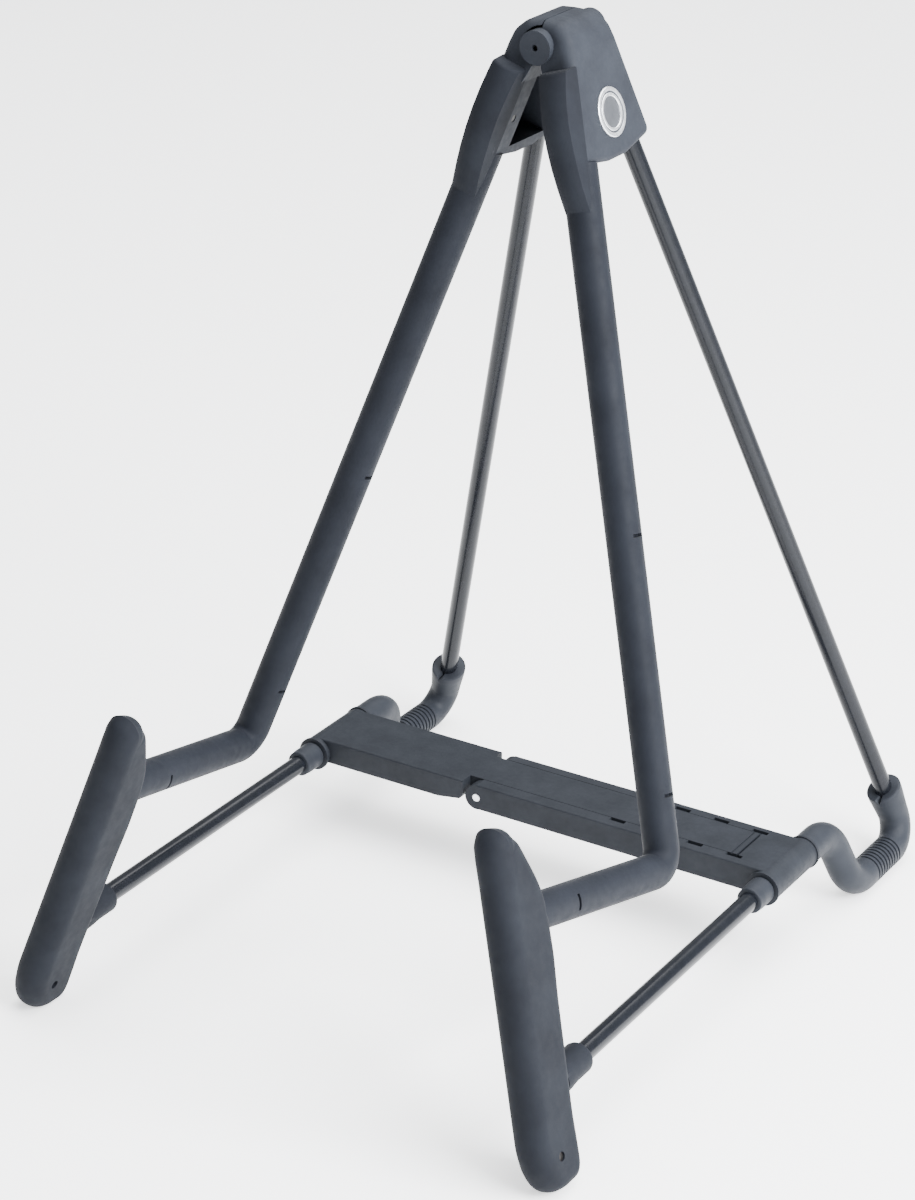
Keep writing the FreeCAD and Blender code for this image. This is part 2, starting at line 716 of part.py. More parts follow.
def head_block(side):
    """One half of the head, the front-view and side-view outlines crossed: sharp-edged, and eased."""
    name = side_name(side) + "_head"
    low = HEAD_LIP + "-2*head_belly"
    front_view = [
        near_hinge("seam_gap", "head_top"),
        near_hinge("head_roof_x", "head_top-0.8"),
        near_hinge("head_shoulder_x", "head_shoulder_z"),
        ("head_outer", "%s-head_shoulder_drop" % HINGE_S),
        ("head_outer", low),
        ("-head_inner", low),
        ("-head_inner", "%s-head_arch" % HINGE_S),
        near_hinge("head_arch_x", "-head_slot_r-2"),
        near_hinge("seam_foot_x", "-head_slot_r+0.2"),
    ]
    wide = slab(name + "_front_view", "XZ", mirrored(side, front_view), "0", "120")
    rounded = [(front_view[1], "head_roof_round"), (front_view[2], "head_shoulder_round"),
               (front_view[3], "head_shoulder_round")]
    wide = softened(name + "_shoulders", wide, [(runs_through("xz", side, spot), radius) for spot, radius in rounded])
    top = "%s+head_top+head_past" % HINGE_S
    lip_front = "%s-head_front_gap" % leg_y(HEAD_LIP)
    brow_front = "%s-head_front_gap" % leg_y(top)
    side_view = [
        (lip_front, HEAD_LIP),
        (brow_front, top),
        ("head_back_high_y-head_back_lean", top),
        ("head_back_high_y", "%s+head_back_rise" % HINGE_S),
        ("head_back_low_y", HEAD_LIP + "+head_back_sill"),
        ("(head_back_low_y+(%s))/2+head_belly_half" % lip_front, HEAD_LIP + "-head_belly"),
        ("(head_back_low_y+(%s))/2-head_belly_half" % lip_front, HEAD_LIP + "-head_belly"),
    ]
    deep = slab(name + "_side_view", "YZ", side_view, "-40", "80")
    rounded = [(side_view[3], "head_shoulder_round"), (side_view[4], "head_lip_round"),
               (side_view[5], "head_shoulder_round"), (side_view[6], "head_shoulder_round")]
    deep = softened(name + "_corners", deep, [(runs_through("yz", 1, spot), radius) for spot, radius in rounded])
    block_solid = overlap(name + "_block", wide, deep)
    low_front, high_front = [(size(y), size(up)) for y, up in (side_view[0], side_view[1])]
    lean = (high_front[0] - low_front[0]) / (high_front[1] - low_front[1])
    seam, outer = values["seam_foot_x"], values["head_outer"]

    def brow(middle, edge):
        ahead = abs(middle.y - low_front[0] - (middle.z - low_front[1]) * lean) < 0.01
        return ahead and beyond_seam(middle) and middle.z > low_front[1] + 1.0

    def beyond_seam(middle):
        dx, dz = from_hinge(middle, side)
        return dx > seam + 0.5 if dz > 0 else abs(middle.x * side - outer) < 0.01

    browed = softened(name + "_browed", block_solid, [(brow, "head_brow_round")])
    front_limit = low_front[0] + values["head_brow_round"]

    def back_rim(middle, edge):
        behind = middle.y > front_limit + (middle.z - low_front[1]) * lean + 1.0
        across = abs(edge.tangentAt(edge.FirstParameter).y) > 0.95 and middle.z > low_front[1] + 20.0
        return behind and not across and beyond_seam(middle)

    return block_solid, softened(name + "_eased", browed, [(back_rim, "head_rim_round")])


def head_pocket(name, side):
    """Room inside the head half, open to the middle, between its two tube sockets."""
    low, high = HEAD_LIP + "+pocket_lip", "%s-head_arch" % HINGE_S
    corners = []
    for up in (low, high):
        corners.append((leg_y(up) + "+socket_wall", up))
    for up in (high, low):
        corners.append((rear_y(up) + "-socket_wall", up))
    start = "-(head_inner+1)" if side > 0 else "-(head_outer-head_skin)"
    return slab(name + "_pocket", "YZ", corners, start, "head_inner+1+head_outer-head_skin")


def hinge_rod(name, side, diameter, start, length):
    out, up = near_hinge("0", "0")
    return rod(name, diameter, length, (signed(side, out), start, up), TURN_Y)


def head(side, block_solid):
    """Head half with its hinge knuckles, tube sockets and badge seat."""
    name = side_name(side) + "_head"
    disc = hinge_rod(name + "_disc", side, "2*head_knuckle_r", "disc_front_y", "disc_w")
    rear_disc = hinge_rod(name + "_rear_disc", side, "2*head_knuckle_r", "rear_disc_y", "rear_disc_w")
    middle = hinge_rod(name + "_middle", side, "2*head_knuckle_r", "disc_front_y+disc_w+0.4",
                       "rear_disc_y-disc_front_y-disc_w-0.8")
    front_room = hinge_rod(name + "_front_room", side, "2*head_slot_r", "disc_front_y-8", "disc_w+8.2")
    rear_room = hinge_rod(name + "_rear_room", side, "2*head_slot_r", "rear_disc_y-0.2", "rear_disc_w+20")
    middle_room = hinge_rod(name + "_middle_room", side, "2*head_slot_r", "disc_front_y+disc_w+0.2",
                            "rear_disc_y-disc_front_y-disc_w-0.4")
    socket_low = HEAD_LIP + "-20"
    sockets = [
        rod_between(name + "_leg_socket", "tube_d", (leg_y(socket_low), socket_low), LEG_TOP),
        rod_between(name + "_rear_socket", "tube_d", (rear_y(socket_low), socket_low), REAR_TOP),
    ]
    seat_start = "head_outer-badge_sink" if side > 0 else "-(head_outer-badge_sink)"
    way = FreeCAD.Rotation(V(0, 1, 0), 90 * side)
    seat = rod(name + "_badge_seat", "badge_d", "5", (seat_start, "badge_y", BADGE_UP), way)
    grubs = grub_rods(side, name + "_grub_hole", "head_inner-tube_d/2+1", "head_inner+1")
    if side > 0:
        room = cut(name + "_room", block_solid, [middle_room])
        bore = hinge_rod(name + "_bore", side, "head_pin_d", "disc_front_y-1", "rear_disc_y+rear_disc_w")
        shaped = joined(name + "_knuckled", [room, disc, rear_disc])
        tools = sockets + [seat, bore, head_pocket(name, side)] + grubs
    else:
        room = cut(name + "_room", block_solid, [front_room, rear_room])
        bore = hinge_rod(name + "_bore", side, "head_pin_d+2*running_fit", "disc_front_y-1",
                         "rear_disc_y+rear_disc_w")
        shaped = joined(name + "_knuckled", [room, middle])
        out, up = near_hinge("0", "0")
        mouth = hidden("Part::Box", name + "_mouth")
        mouth.setExpression("Length", bound("head_slot_r*1.5"))
        mouth.setExpression("Width", bound("rear_disc_y+rear_disc_w"))
        mouth.setExpression("Height", bound("hook_w"))
        mouth.Placement = FreeCAD.Placement(V(0, 0, 0), FreeCAD.Rotation(V(0, -1, 0), values["hook_angle"]))
        turn = "(hook_angle+tilt)"
        mouth.setExpression("Placement.Rotation.Angle", bound(turn))
        mouth.setExpression("Placement.Base.x", bound("-(%s)+hook_w/2*sin%s" % (out, turn)))
        mouth.setExpression("Placement.Base.y", bound("disc_front_y-1"))
        mouth.setExpression("Placement.Base.z", bound("%s-hook_w/2*cos%s" % (up, turn)))
        tools = sockets + [seat, bore, mouth, head_pocket(name, side)] + grubs
    return finish(cut(name + "_cut", shaped, tools), side_name(side) + "_head", side)


def grub_rods(side, name, length, start):
    """Two short rods square to the inner face, one over each tube."""
    way = FreeCAD.Rotation(V(0, 1, 0), 90 * side)
    place = signed(side, "-(%s)" % start)
    return [
        rod(name + "_leg", "grub_d", length, (place, leg_y(GRUB_UP), GRUB_UP), way),
        rod(name + "_rear", "grub_d", length, (place, rear_y(GRUB_UP), GRUB_UP), way),
    ]


def tube_screws(side):
    """Grub screws that clamp both tubes in the head, set into its inner face."""
    name = side_name(side) + "_grubs"
    group = hidden("Part::Compound", name)
    group.Links = grub_rods(side, name, "head_inner-tube_d/2-grub_sink", "head_inner-grub_sink")
    return finish(group, side_name(side) + "_tube_screws", side)


def badge(side):
    """Plain round badge let into the head's outer face."""
    name = side_name(side) + "_badge_disc"
    start = "head_outer-badge_sink" if side > 0 else "-(head_outer-badge_sink)"
    way = FreeCAD.Rotation(V(0, 1, 0), 90 * side)
    disc = rod(name, "badge_d", "badge_t", (start, "badge_y", BADGE_UP), way)
    return finish(bevelled(name + "_rim", disc, "badge_bevel"), side_name(side) + "_badge", side)


def back_cushion(side, block_solid):
    """Soft cushion in front of the head and the top of the leg, where the guitar's back leans."""
    name = side_name(side) + "_cushion"
    outline = [
        ("cushion_tip_y", CUSHION_TIP),
        ("cushion_front_y+cushion_nose_ease", CUSHION_TIP + "+cushion_nose_rise"),
        ("cushion_front_y", CUSHION_TIP + "+cushion_full_rise"),
        ("cushion_front_y", CUSHION_TOP + "-cushion_brow_drop"),
        ("cushion_front_y+cushion_brow_ease", CUSHION_TOP),
        (leg_y(CUSHION_TOP), CUSHION_TOP),
        (leg_y(CUSHION_TIP) + "-cushion_tip_cover", CUSHION_TIP),
    ]
    raw = slab(name + "_side", "YZ", outline, "-" + CUSHION_HALF, "2*" + CUSHION_HALF)
    half = size(CUSHION_HALF)
    middle_y = size(leg_y(CUSHION_TIP)) - 4.0
    top = size(CUSHION_TOP)

    def front_rim(middle, edge):
        return abs(abs(middle.x) - half) < 0.01 and middle.y < middle_y and \
            middle.z < top - 1.0

    soft = softened(name + "_soft", raw, [(front_rim, "cushion_round")])
    hose = rod_between(name + "_hose_room", "sleeve_d", point_on(BEND, LEG_TOP, "up", SLEEVE_TOP + "-60"),
                       point_on(BEND, LEG_TOP, "up", SLEEVE_TOP + "+60"))
    return finish(cut(name + "_cut", soft, [hose, block_solid]), side_name(side) + "_back_cushion", side)


def barrel(name, side):
    """Barrel with a raised rim at each end, about the lower run."""
    x = signed(side, SHAFT_X)
    pieces = [rod(name + "_barrel", "barrel_d", "barrel_back_y-barrel_front_y",
                  (x, "barrel_front_y", SHAFT_Z), TURN_Y)]
    for i, start in enumerate(("barrel_front_y", "barrel_back_y-barrel_rim_w")):
        pieces.append(rod("%s_rim_%d" % (name, i), "barrel_d+2*barrel_rim", "barrel_rim_w",
                          (x, start, SHAFT_Z), TURN_Y))
    return pieces


def barrel_bore(name, side):
    return rod(name + "_bore", "tube_d+2*running_fit", "barrel_back_y-barrel_front_y+4",
               (signed(side, SHAFT_X), "barrel_front_y-2", SHAFT_Z), TURN_Y)


def knee_rod(name, diameter, start, length):
    return rod(name, diameter, length, ("knee_x", start, KNEE_Z), TURN_Y)


def underside_bays(name, first, last, under, count):
    """Open bays in a bar's underside, with thin ribs between."""
    bays = []
    wide = "((%s)-(%s)-%d*pocket_wall)/%d" % (last, first, count - 1, count)
    for i in range(count):
        bays.append(block("%s_bay_%d" % (name, i),
                          ("(%s)+%d*(%s+pocket_wall)" % (first, i, wide), "bar_front_y+pocket_wall",
                           "%s-(%s)-1" % (KNEE_Z, under)),
                          (wide, "bar_back_y-bar_front_y-2*pocket_wall", "pocket_deep+1")))
    return bays


TONGUE_END = "(%s-tongue_end_gap)" % SHAFT_X
def eased_beam(name, outline):
    """A bar of constant width whose front and back rims are eased."""
    beam = slab(name + "_beam", "XZ", outline, "bar_front_y", "bar_back_y-bar_front_y")
    faces = [size("bar_front_y"), size("bar_back_y")]

    def rim(middle, edge):
        return min(abs(middle.y - face) for face in faces) < 0.01 and edge.Length > 12.0

    return softened(name + "_eased", beam, [(rim, "bar_round")])


CHANNEL_FRONT = "(bar_front_y+front_rail_w)"
CHANNEL_BACK = "(bar_back_y-back_rail_w)"


def crossbar_left():
    """Left half of the crossbar: barrel, bar, knuckle and the long tongue over the right half."""
    name = "left_bar"
    outline = [
        ("-%s" % SHAFT_X, KNEE_Z + "+bar_top_up"),
        ("knee_x-knee_end_gap", KNEE_Z + "+bar_top_up"),
        ("knee_x-knee_end_gap", KNEE_Z + "-0.6"),
        ("knee_x-knee_end_gap-2.2", KNEE_Z + "-bar_relief"),
        ("knee_x-bar_relief_len", KNEE_Z + "-left_bar_under"),
        ("-%s" % SHAFT_X, KNEE_Z + "-left_bar_under"),
    ]
    beam = eased_beam(name, outline)
    inner_y = "%s+rail_gap" % CHANNEL_FRONT
    inner_w = "%s-%s-2*rail_gap" % (CHANNEL_BACK, CHANNEL_FRONT)
    knuckle = knee_rod(name + "_knuckle", "2*knuckle_radius", inner_y, inner_w)
    link = block(name + "_link", ("knee_x-knee_end_gap-4", inner_y, KNEE_Z + "+link_rise"),
                 ("knee_end_gap+4", inner_w, "bar_top_up-link_rise"))
    tongue = block(name + "_tongue", ("knee_x-knee_end_gap-4", inner_y, KNEE_Z + "+tongue_under"),
                   (TONGUE_END + "-knee_x+knee_end_gap+4", inner_w, "bar_top_up-tongue_under"))
    whole = joined(name + "_whole", [beam, knuckle, link, tongue] + barrel(name, -1))
    step = block(name + "_lip_line", (TONGUE_END + "-tongue_lip", inner_y + "-1", KNEE_Z + "+bar_top_up-0.5"),
                 ("0.8", inner_w + "+2", "2"))
    pin = knee_rod(name + "_pin_bore", "knee_pin_d+2*running_fit", "bar_front_y-5", "bar_back_y")
    bays = underside_bays(name, "-%s+barrel_d/2+6" % SHAFT_X, "knee_x-bar_relief_len-3", "left_bar_under", 2)
    return finish(cut(name + "_cut", whole, [step, pin, barrel_bore(name, -1)] + bays), "crossbar_left")


def crossbar_right():
    """Right half of the crossbar: barrel, cheeks at the knee and the channel for the tongue."""
    name = "right_bar"
    outline = [
        ("knee_x", KNEE_Z + "+bar_top_up"),
        (SHAFT_X, KNEE_Z + "+bar_top_up"),
        (SHAFT_X, KNEE_Z + "-bar_under"),
        ("knee_x", KNEE_Z + "-bar_under"),
    ]
    beam = eased_beam(name, outline)
    cheeks = knee_rod(name + "_cheeks", "2*knuckle_radius", "bar_front_y", "bar_back_y-bar_front_y")
    whole = joined(name + "_whole", [beam, cheeks] + barrel(name, 1))
    room_w = "%s-%s" % (CHANNEL_BACK, CHANNEL_FRONT)
    floor = KNEE_Z + "+tongue_under-channel_gap"
    channel = block(name + "_channel", ("knee_x-knuckle_radius-2", CHANNEL_FRONT, floor),
                    (TONGUE_END + "+tongue_gap-knee_x+knuckle_radius+2", room_w, "bar_top_up"))
    knuckle_room = knee_rod(name + "_knuckle_room", "2*(knuckle_radius+knuckle_gap)", CHANNEL_FRONT, room_w)
    fork = block(name + "_fork", ("knee_x-knuckle_radius-2", CHANNEL_FRONT, KNEE_Z + "-knuckle_radius-2"),
                 ("knuckle_radius+2", room_w, "2*knuckle_radius+8"))
    pin = knee_rod(name + "_pin_bore", "knee_pin_d", "bar_front_y-5", "bar_back_y")
    notches = []
    for i in range(4):
        x = "%s-notch_reach+%d*notch_pitch" % (SHAFT_X, i)
        for row, y in enumerate((CHANNEL_FRONT + "-notch_w", CHANNEL_BACK)):
            notches.append(block("%s_notch_%d_%d" % (name, i, row), (x, y, KNEE_Z + "+bar_top_up-notch_deep"),
                                 ("notch_len", "notch_w", "notch_deep+1")))
    bays = underside_bays(name, "knee_x+16", "%s-barrel_d/2-6" % SHAFT_X, "bar_under", 3)
    tools = [channel, knuckle_room, fork, pin, barrel_bore(name, 1)] + notches + bays
    return finish(cut(name + "_cut", whole, tools), "crossbar_right")


for side in (-1, 1):
    front_tube(side)
    base_tube(side)
    leg_sleeve(side)
    rear_boot(side)
    tube_collar(side)
    pad(side)
    sharp_head, half_head = head_block(side)
    head(side, half_head)
    back_cushion(side, sharp_head)
    tube_screws(side)
    badge(side)

crossbar_left()
crossbar_right()
knee_bar = knee_rod("knee_pin_rod", "knee_pin_d", "bar_front_y-pin_proud", "bar_back_y-bar_front_y+2*pin_proud")
finish(bevelled("knee_pin_bevelled", knee_bar, "pin_bevel"), "knee_pin")
pin_rod = rod("head_pin_rod", "head_pin_d", "rear_disc_y+rear_disc_w-disc_front_y-2*pin_recess",
              ("0", "disc_front_y+pin_recess", "pin_height"), TURN_Y)
finish(bevelled("head_pin_bevelled", pin_rod, "pin_bevel"), "head_pin")

doc.recompute()
for item in doc.Objects:
    for word in ("Invalid", "Error"):
        if word in item.State:
            raise ValueError("%s is %s" % (item.Name, word))
for piece in finished:
    if piece.Shape.isNull() or not piece.Shape.isValid() or piece.Shape.Volume <= 0:
        raise ValueError("%s has no valid shape" % piece.Label)

os.makedirs("parts", exist_ok=True)
for piece in finished:
    piece.Shape.exportStep("parts/%s.step" % piece.Label)
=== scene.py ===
import math

import bmesh
import bpy
import numpy as np
from mathutils import Matrix, Vector


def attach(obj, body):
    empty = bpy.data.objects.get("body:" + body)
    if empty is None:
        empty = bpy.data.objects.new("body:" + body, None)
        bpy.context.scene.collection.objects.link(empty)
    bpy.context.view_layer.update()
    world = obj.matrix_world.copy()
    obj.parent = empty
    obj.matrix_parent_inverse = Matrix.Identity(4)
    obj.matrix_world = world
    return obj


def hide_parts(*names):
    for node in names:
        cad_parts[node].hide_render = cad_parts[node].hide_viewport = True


# Folding A-frame guitar stand, standing open. Each side frame is built of one bent tube in front (arm
# and leg), one bent tube below and behind, a moulded head half, a soft pad and a rubber boot.
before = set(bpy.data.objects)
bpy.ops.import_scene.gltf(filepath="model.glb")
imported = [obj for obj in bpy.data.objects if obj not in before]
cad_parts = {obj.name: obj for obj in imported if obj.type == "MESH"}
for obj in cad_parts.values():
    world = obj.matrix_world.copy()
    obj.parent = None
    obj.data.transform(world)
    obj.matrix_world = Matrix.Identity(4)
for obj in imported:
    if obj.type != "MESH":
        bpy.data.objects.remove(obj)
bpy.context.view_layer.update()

# ---------------------------------------------------------------- floor, lights and camera
# A pale studio floor with a faint glow of its own, one large soft light on the right and one overhead.
# The camera stands in front on the right and looks down at the stand.

scene = bpy.context.scene
world = bpy.data.worlds.new("studio")
scene.world = world
world.use_nodes = True
world.node_tree.nodes["Background"].inputs["Color"].default_value = (0.93, 0.96, 1.0, 1)
world.node_tree.nodes["Background"].inputs["Strength"].default_value = 0.62

FLOOR_HALF = 7.0
floor_mesh = bpy.data.meshes.new("floor")
floor_mesh.from_pydata([(-FLOOR_HALF, -FLOOR_HALF, 0), (FLOOR_HALF, -FLOOR_HALF, 0),
                        (FLOOR_HALF, FLOOR_HALF, 0), (-FLOOR_HALF, FLOOR_HALF, 0)], [], [(0, 1, 2, 3)])
floor = bpy.data.objects.new("floor", floor_mesh)
scene.collection.objects.link(floor)
floor_paint = bpy.data.materials.new("pale_floor")
floor_paint.use_nodes = True
floor_look = floor_paint.node_tree.nodes["Principled BSDF"].inputs
floor_look["Base Color"].default_value = (0.95, 0.955, 0.96, 1)
floor_look["Roughness"].default_value = 0.9
floor_look["Emission Color"].default_value = (1.0, 1.0, 1.0, 1)
floor_look["Emission Strength"].default_value = 1.1
floor_mesh.materials.append(floor_paint)


def softbox(name, place, aim, size, watts, colour):
    """A square area light at "place" that faces "aim"."""
    lamp = bpy.data.lights.new(name, "AREA")
    lamp.size = size
    lamp.energy = watts
    lamp.color = colour
    holder = bpy.data.objects.new(name, lamp)
    holder.location = place
    holder.rotation_euler = (Vector(aim) - Vector(place)).to_track_quat("-Z", "Y").to_euler()
    scene.collection.objects.link(holder)


softbox("right_softbox", (1.4, -0.15, 1.0), (0, 0, 0.2), 1.1, 112, (0.97, 0.98, 1.0))
softbox("top_softbox", (0.3, 0.9, 3.0), (0, 0.4, 0.0), 3.2, 290, (1, 1, 1))

eye = Vector((0.7699, -1.2843, 0.8719))
aim = Vector((0.0, -0.0309, 0.2020))
ROLL = math.radians(0.688)
ahead = (aim - eye).normalized()
level_right = ahead.cross(Vector((0, 0, 1))).normalized()
level_up = level_right.cross(ahead)
camera_right = level_right * math.cos(ROLL) + level_up * math.sin(ROLL)
camera_up = camera_right.cross(ahead)
lens = bpy.data.cameras.new("camera")
lens.lens = 97.59
lens.sensor_width = 36.0
lens.clip_start = 0.05
lens.clip_end = 60.0
camera = bpy.data.objects.new("camera", lens)
camera.matrix_world = Matrix((
    (camera_right.x, camera_up.x, -ahead.x, eye.x),
    (camera_right.y, camera_up.y, -ahead.y, eye.y),
    (camera_right.z, camera_up.z, -ahead.z, eye.z),
    (0, 0, 0, 1)))
scene.collection.objects.link(camera)
scene.camera = camera

# ---------------------------------------------------------------- base tubes
# One steel tube a side, bent cold and enamelled gloss black: from the pad back through the crossbar's
# barrel, down, back as the rear foot and up into the head.

TILT = math.radians(17.0)     # lean of each side frame towards the middle
FOOT_X = 152.9                # where a frame's plane meets the floor, from the middle
BACK_SHIFT = -1.7             # a frame's own zero, from the stand's
TUBE_R = 5.0
TUBE_BORE_R = 3.5
TUBE_TOP_UP = 472.98          # where front and rear tube end in the head, up the frame
LOW_RUN = 46.2                # height of the lower run, up the frame
FLOOR_RUN = 8.89              # height of the rear foot
LEFT, RIGHT = -1, 1
BODY = {LEFT: "left_frame", RIGHT: "right_frame"}
WORD = {LEFT: "left", RIGHT: "right"}


def stand(side, out, back, up):
    """Millimetres in a side frame (outwards, back, up the leaning plane) to metres in the stand:
    x = foot - up sin(tilt) + out cos(tilt), mirrored for the left; z = up cos(tilt) + out sin(tilt)."""
    x = FOOT_X - up * np.sin(TILT) + out * np.cos(TILT)
    z = up * np.cos(TILT) + out * np.sin(TILT)
    return np.stack(np.broadcast_arrays(side * x, back + BACK_SHIFT, z), -1) / 1000.0


def skin(name, grid, ring=False, ladder=False):
    """A closed surface over a grid of points: columns always meet round the back. With "ring" the last
    row meets the first; with "ladder" each end row is closed by rungs from column j to column -j;
    otherwise each end row is closed to its own middle point. The enclosed volume's sign, the sum of
    a.(b x c) over the faces, says whether to turn the faces over."""
    rows, cols = grid.shape[:2]
    points = grid.reshape(-1, 3)
    here = np.arange(cols)
    after = (here + 1) % cols
    low = np.arange(rows if ring else rows - 1)[:, None]
    high = (low + 1) % rows
    faces = np.stack([low * cols + here, low * cols + after, high * cols + after, high * cols + here],
                     -1).reshape(-1, 4)
    caps = np.empty((0, 3), int)
    if ladder:
        j = np.arange(cols // 2)
        rungs = np.stack([j + 1, j, -j % cols, -(j + 1) % cols], -1)
        faces = np.concatenate([faces, rungs, rungs[:, ::-1] + (rows - 1) * cols])
    elif not ring:
        ends = np.stack([grid[0].mean(0), grid[-1].mean(0)])
        points = np.concatenate([points, ends])
        first, last = rows * cols, rows * cols + 1
        caps = np.concatenate([
            np.stack([after, here, np.full(cols, first)], -1),
            np.stack([(rows - 1) * cols + here, (rows - 1) * cols + after, np.full(cols, last)], -1)])
    corners = np.concatenate([faces[:, [0, 1, 2]], faces[:, [0, 2, 3]], caps])
    a, b, c = (points[corners[:, i]] for i in range(3))
    if np.einsum("ij,ij->", a, np.cross(b, c)) < 0:
        faces, caps = faces[:, ::-1], caps[:, ::-1]
    mesh = bpy.data.meshes.new(name)
    mesh.from_pydata(points.tolist(), [], faces.tolist() + caps.tolist())
    mesh.validate()
    piece = bpy.data.objects.new(name, mesh)
    scene.collection.objects.link(piece)
    return piece


def smooth(piece, crease=35.0):
    """Round shading, with a hard line wherever two faces meet at more than "crease" degrees."""
    piece.data.shade_smooth()
    piece.data.set_sharp_from_angle(angle=math.radians(crease))


def route(corners, radii, step=0.25):
    """Straight runs joined by tangent arcs: an arc of radius r begins r tan(turn/2) before its corner.
    Gives distance, back, up and heading at close steps along the line."""
    corners = np.array(corners, float)
    back_up, heading = [], []
    start = corners[0]
    for i in range(1, len(corners)):
        way = (corners[i] - corners[i - 1]) / np.linalg.norm(corners[i] - corners[i - 1])
        angle = math.atan2(way[1], way[0])
        if i < len(corners) - 1:
            onward = (corners[i + 1] - corners[i]) / np.linalg.norm(corners[i + 1] - corners[i])
            turn = (math.atan2(onward[1], onward[0]) - angle + math.pi) % (2 * math.pi) - math.pi
            radius = radii[i - 1]
            end = corners[i] - way * radius * math.tan(abs(turn) / 2)
        else:
            end = corners[i]
        share = np.linspace(0, 1, max(2, int(np.linalg.norm(end - start) / step)), endpoint=False)
        back_up.append(start + share[:, None] * (end - start))
        heading.append(np.full(len(share), angle))
        if i < len(corners) - 1:
            side = math.copysign(1.0, turn)
            centre = end + radius * side * np.array([-way[1], way[0]])
            swing = angle + np.linspace(0, 1, max(6, int(radius * abs(turn) / step)), endpoint=False) * turn
            back_up.append(centre + radius * side * np.stack([np.sin(swing), -np.cos(swing)], -1))
            heading.append(swing)
            start = corners[i] + onward * radius * math.tan(abs(turn) / 2)
    back_up.append(corners[-1:])
    heading.append(np.array([angle]))
    line = np.concatenate(back_up)
    steps = np.linalg.norm(np.diff(line, axis=0), axis=1)
    return np.concatenate([[0], np.cumsum(steps)]), line[:, 0], line[:, 1], np.concatenate(heading)


def hose(name, side, line, distance, radius, bore, angles):
    """A hollow round section carried along a route. At each distance the ring's point at angle a lies
    r cos(a) outwards and r sin(a) along the route's normal; the bore runs back inside it."""
    distance = np.broadcast_to(np.asarray(distance, float), np.broadcast(distance, radius).shape)
    radius = np.broadcast_to(radius, distance.shape)
    rows = np.concatenate([distance, distance[::-1]])
    reach = np.concatenate([radius, np.broadcast_to(bore, distance.shape)[::-1]])
    back, up, heading = (np.interp(rows, line[0], line[i]) for i in (1, 2, 3))
    out = reach * np.cos(angles)
    lift = reach * np.sin(angles)
    return skin(name, stand(side, out, back - lift * np.sin(heading), up + lift * np.cos(heading)), ring=True)


def stretch(*stops):
    """Distances from stop to stop, each (distance, step after it)."""
    parts = [np.arange(a, b - step * 0.5, step) for (a, step), (b, _) in zip(stops, stops[1:])]
    return np.concatenate(parts + [[stops[-1][0]]])[:, None]


def shader(name, **constants):
    """A material with its Principled sockets set, ready for its own nodes."""
    material = bpy.data.materials.new(name)
    material.use_nodes = True
    surface = material.node_tree.nodes["Principled BSDF"]
    for socket, value in constants.items():
        surface.inputs[socket.replace("_", " ")].default_value = value
    return material, material.node_tree, surface


def node(tree, kind, **settings):
    """A shader node with its sockets, or else its properties, set by name."""
    made = tree.nodes.new(kind)
    for key, value in settings.items():
        if key in made.inputs:
            made.inputs[key].default_value = value
        else:
            setattr(made, key, value)
    return made


def noise(tree, scale, detail=3.0, roughness=0.55, stretch_by=(1, 1, 1)):
    """Noise over the piece's own coordinates, in features of about 1/scale metres."""
    place = tree.nodes.new("ShaderNodeTexCoord")
    sized = node(tree, "ShaderNodeMapping", Scale=stretch_by)
    pattern = node(tree, "ShaderNodeTexNoise", Scale=scale, Detail=detail, Roughness=roughness)
    tree.links.new(place.outputs["Object"], sized.inputs["Vector"])
    tree.links.new(sized.outputs["Vector"], pattern.inputs["Vector"])
    return pattern.outputs["Fac"]


def ramp(tree, value, stops):
    """A colour ramp over "value" with (position, colour) stops."""
    made = tree.nodes.new("ShaderNodeValToRGB")
    while len(made.color_ramp.elements) < len(stops):
        made.color_ramp.elements.new(0.5)
    for element, (position, colour) in zip(made.color_ramp.elements, stops):
        element.position = position
        element.color = (*colour, 1)
    tree.links.new(value, made.inputs["Fac"])
    return made.outputs["Color"]


def spread(tree, value, low, high, start=0.3, end=0.7):
    """Values from start to end carried over to low to high."""
    made = node(tree, "ShaderNodeMapRange")
    for key, number in (("From Min", start), ("From Max", end), ("To Min", low), ("To Max", high)):
        made.inputs[key].default_value = number
    tree.links.new(value, made.inputs["Value"])
    return made.outputs["Result"]


def relief(tree, surface, height, distance, strength=1.0):
    """Fine surface relief of "distance" metres, on top of any that is there."""
    bump = node(tree, "ShaderNodeBump", Strength=strength, Distance=distance)
    tree.links.new(height, bump.inputs["Height"])
    if surface.inputs["Normal"].is_linked:
        tree.links.new(surface.inputs["Normal"].links[0].from_socket, bump.inputs["Normal"])
    tree.links.new(bump.outputs["Normal"], surface.inputs["Normal"])


def black_enamel():
    """Gloss black stove enamel: near-black with a faint unevenness of tone and gloss."""
    material, tree, surface = shader("black_enamel", Roughness=0.24, Specular_IOR_Level=0.2)
    tint = ramp(tree, noise(tree, 260.0), [(0.35, (0.005, 0.006, 0.008)), (0.7, (0.007, 0.008, 0.011))])
    tree.links.new(tint, surface.inputs["Base Color"])
    tree.links.new(spread(tree, noise(tree, 60.0), 0.21, 0.27), surface.inputs["Roughness"])
    return material


def fit(piece, material, side, slot_name, *nodes):
    """Put a piece's finish on and let it ride on its side frame in place of the named plain solids."""
    piece.data.materials.append(material)
    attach(piece, BODY[side])
    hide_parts(*[WORD[side] + "_" + n for n in nodes])
    return piece


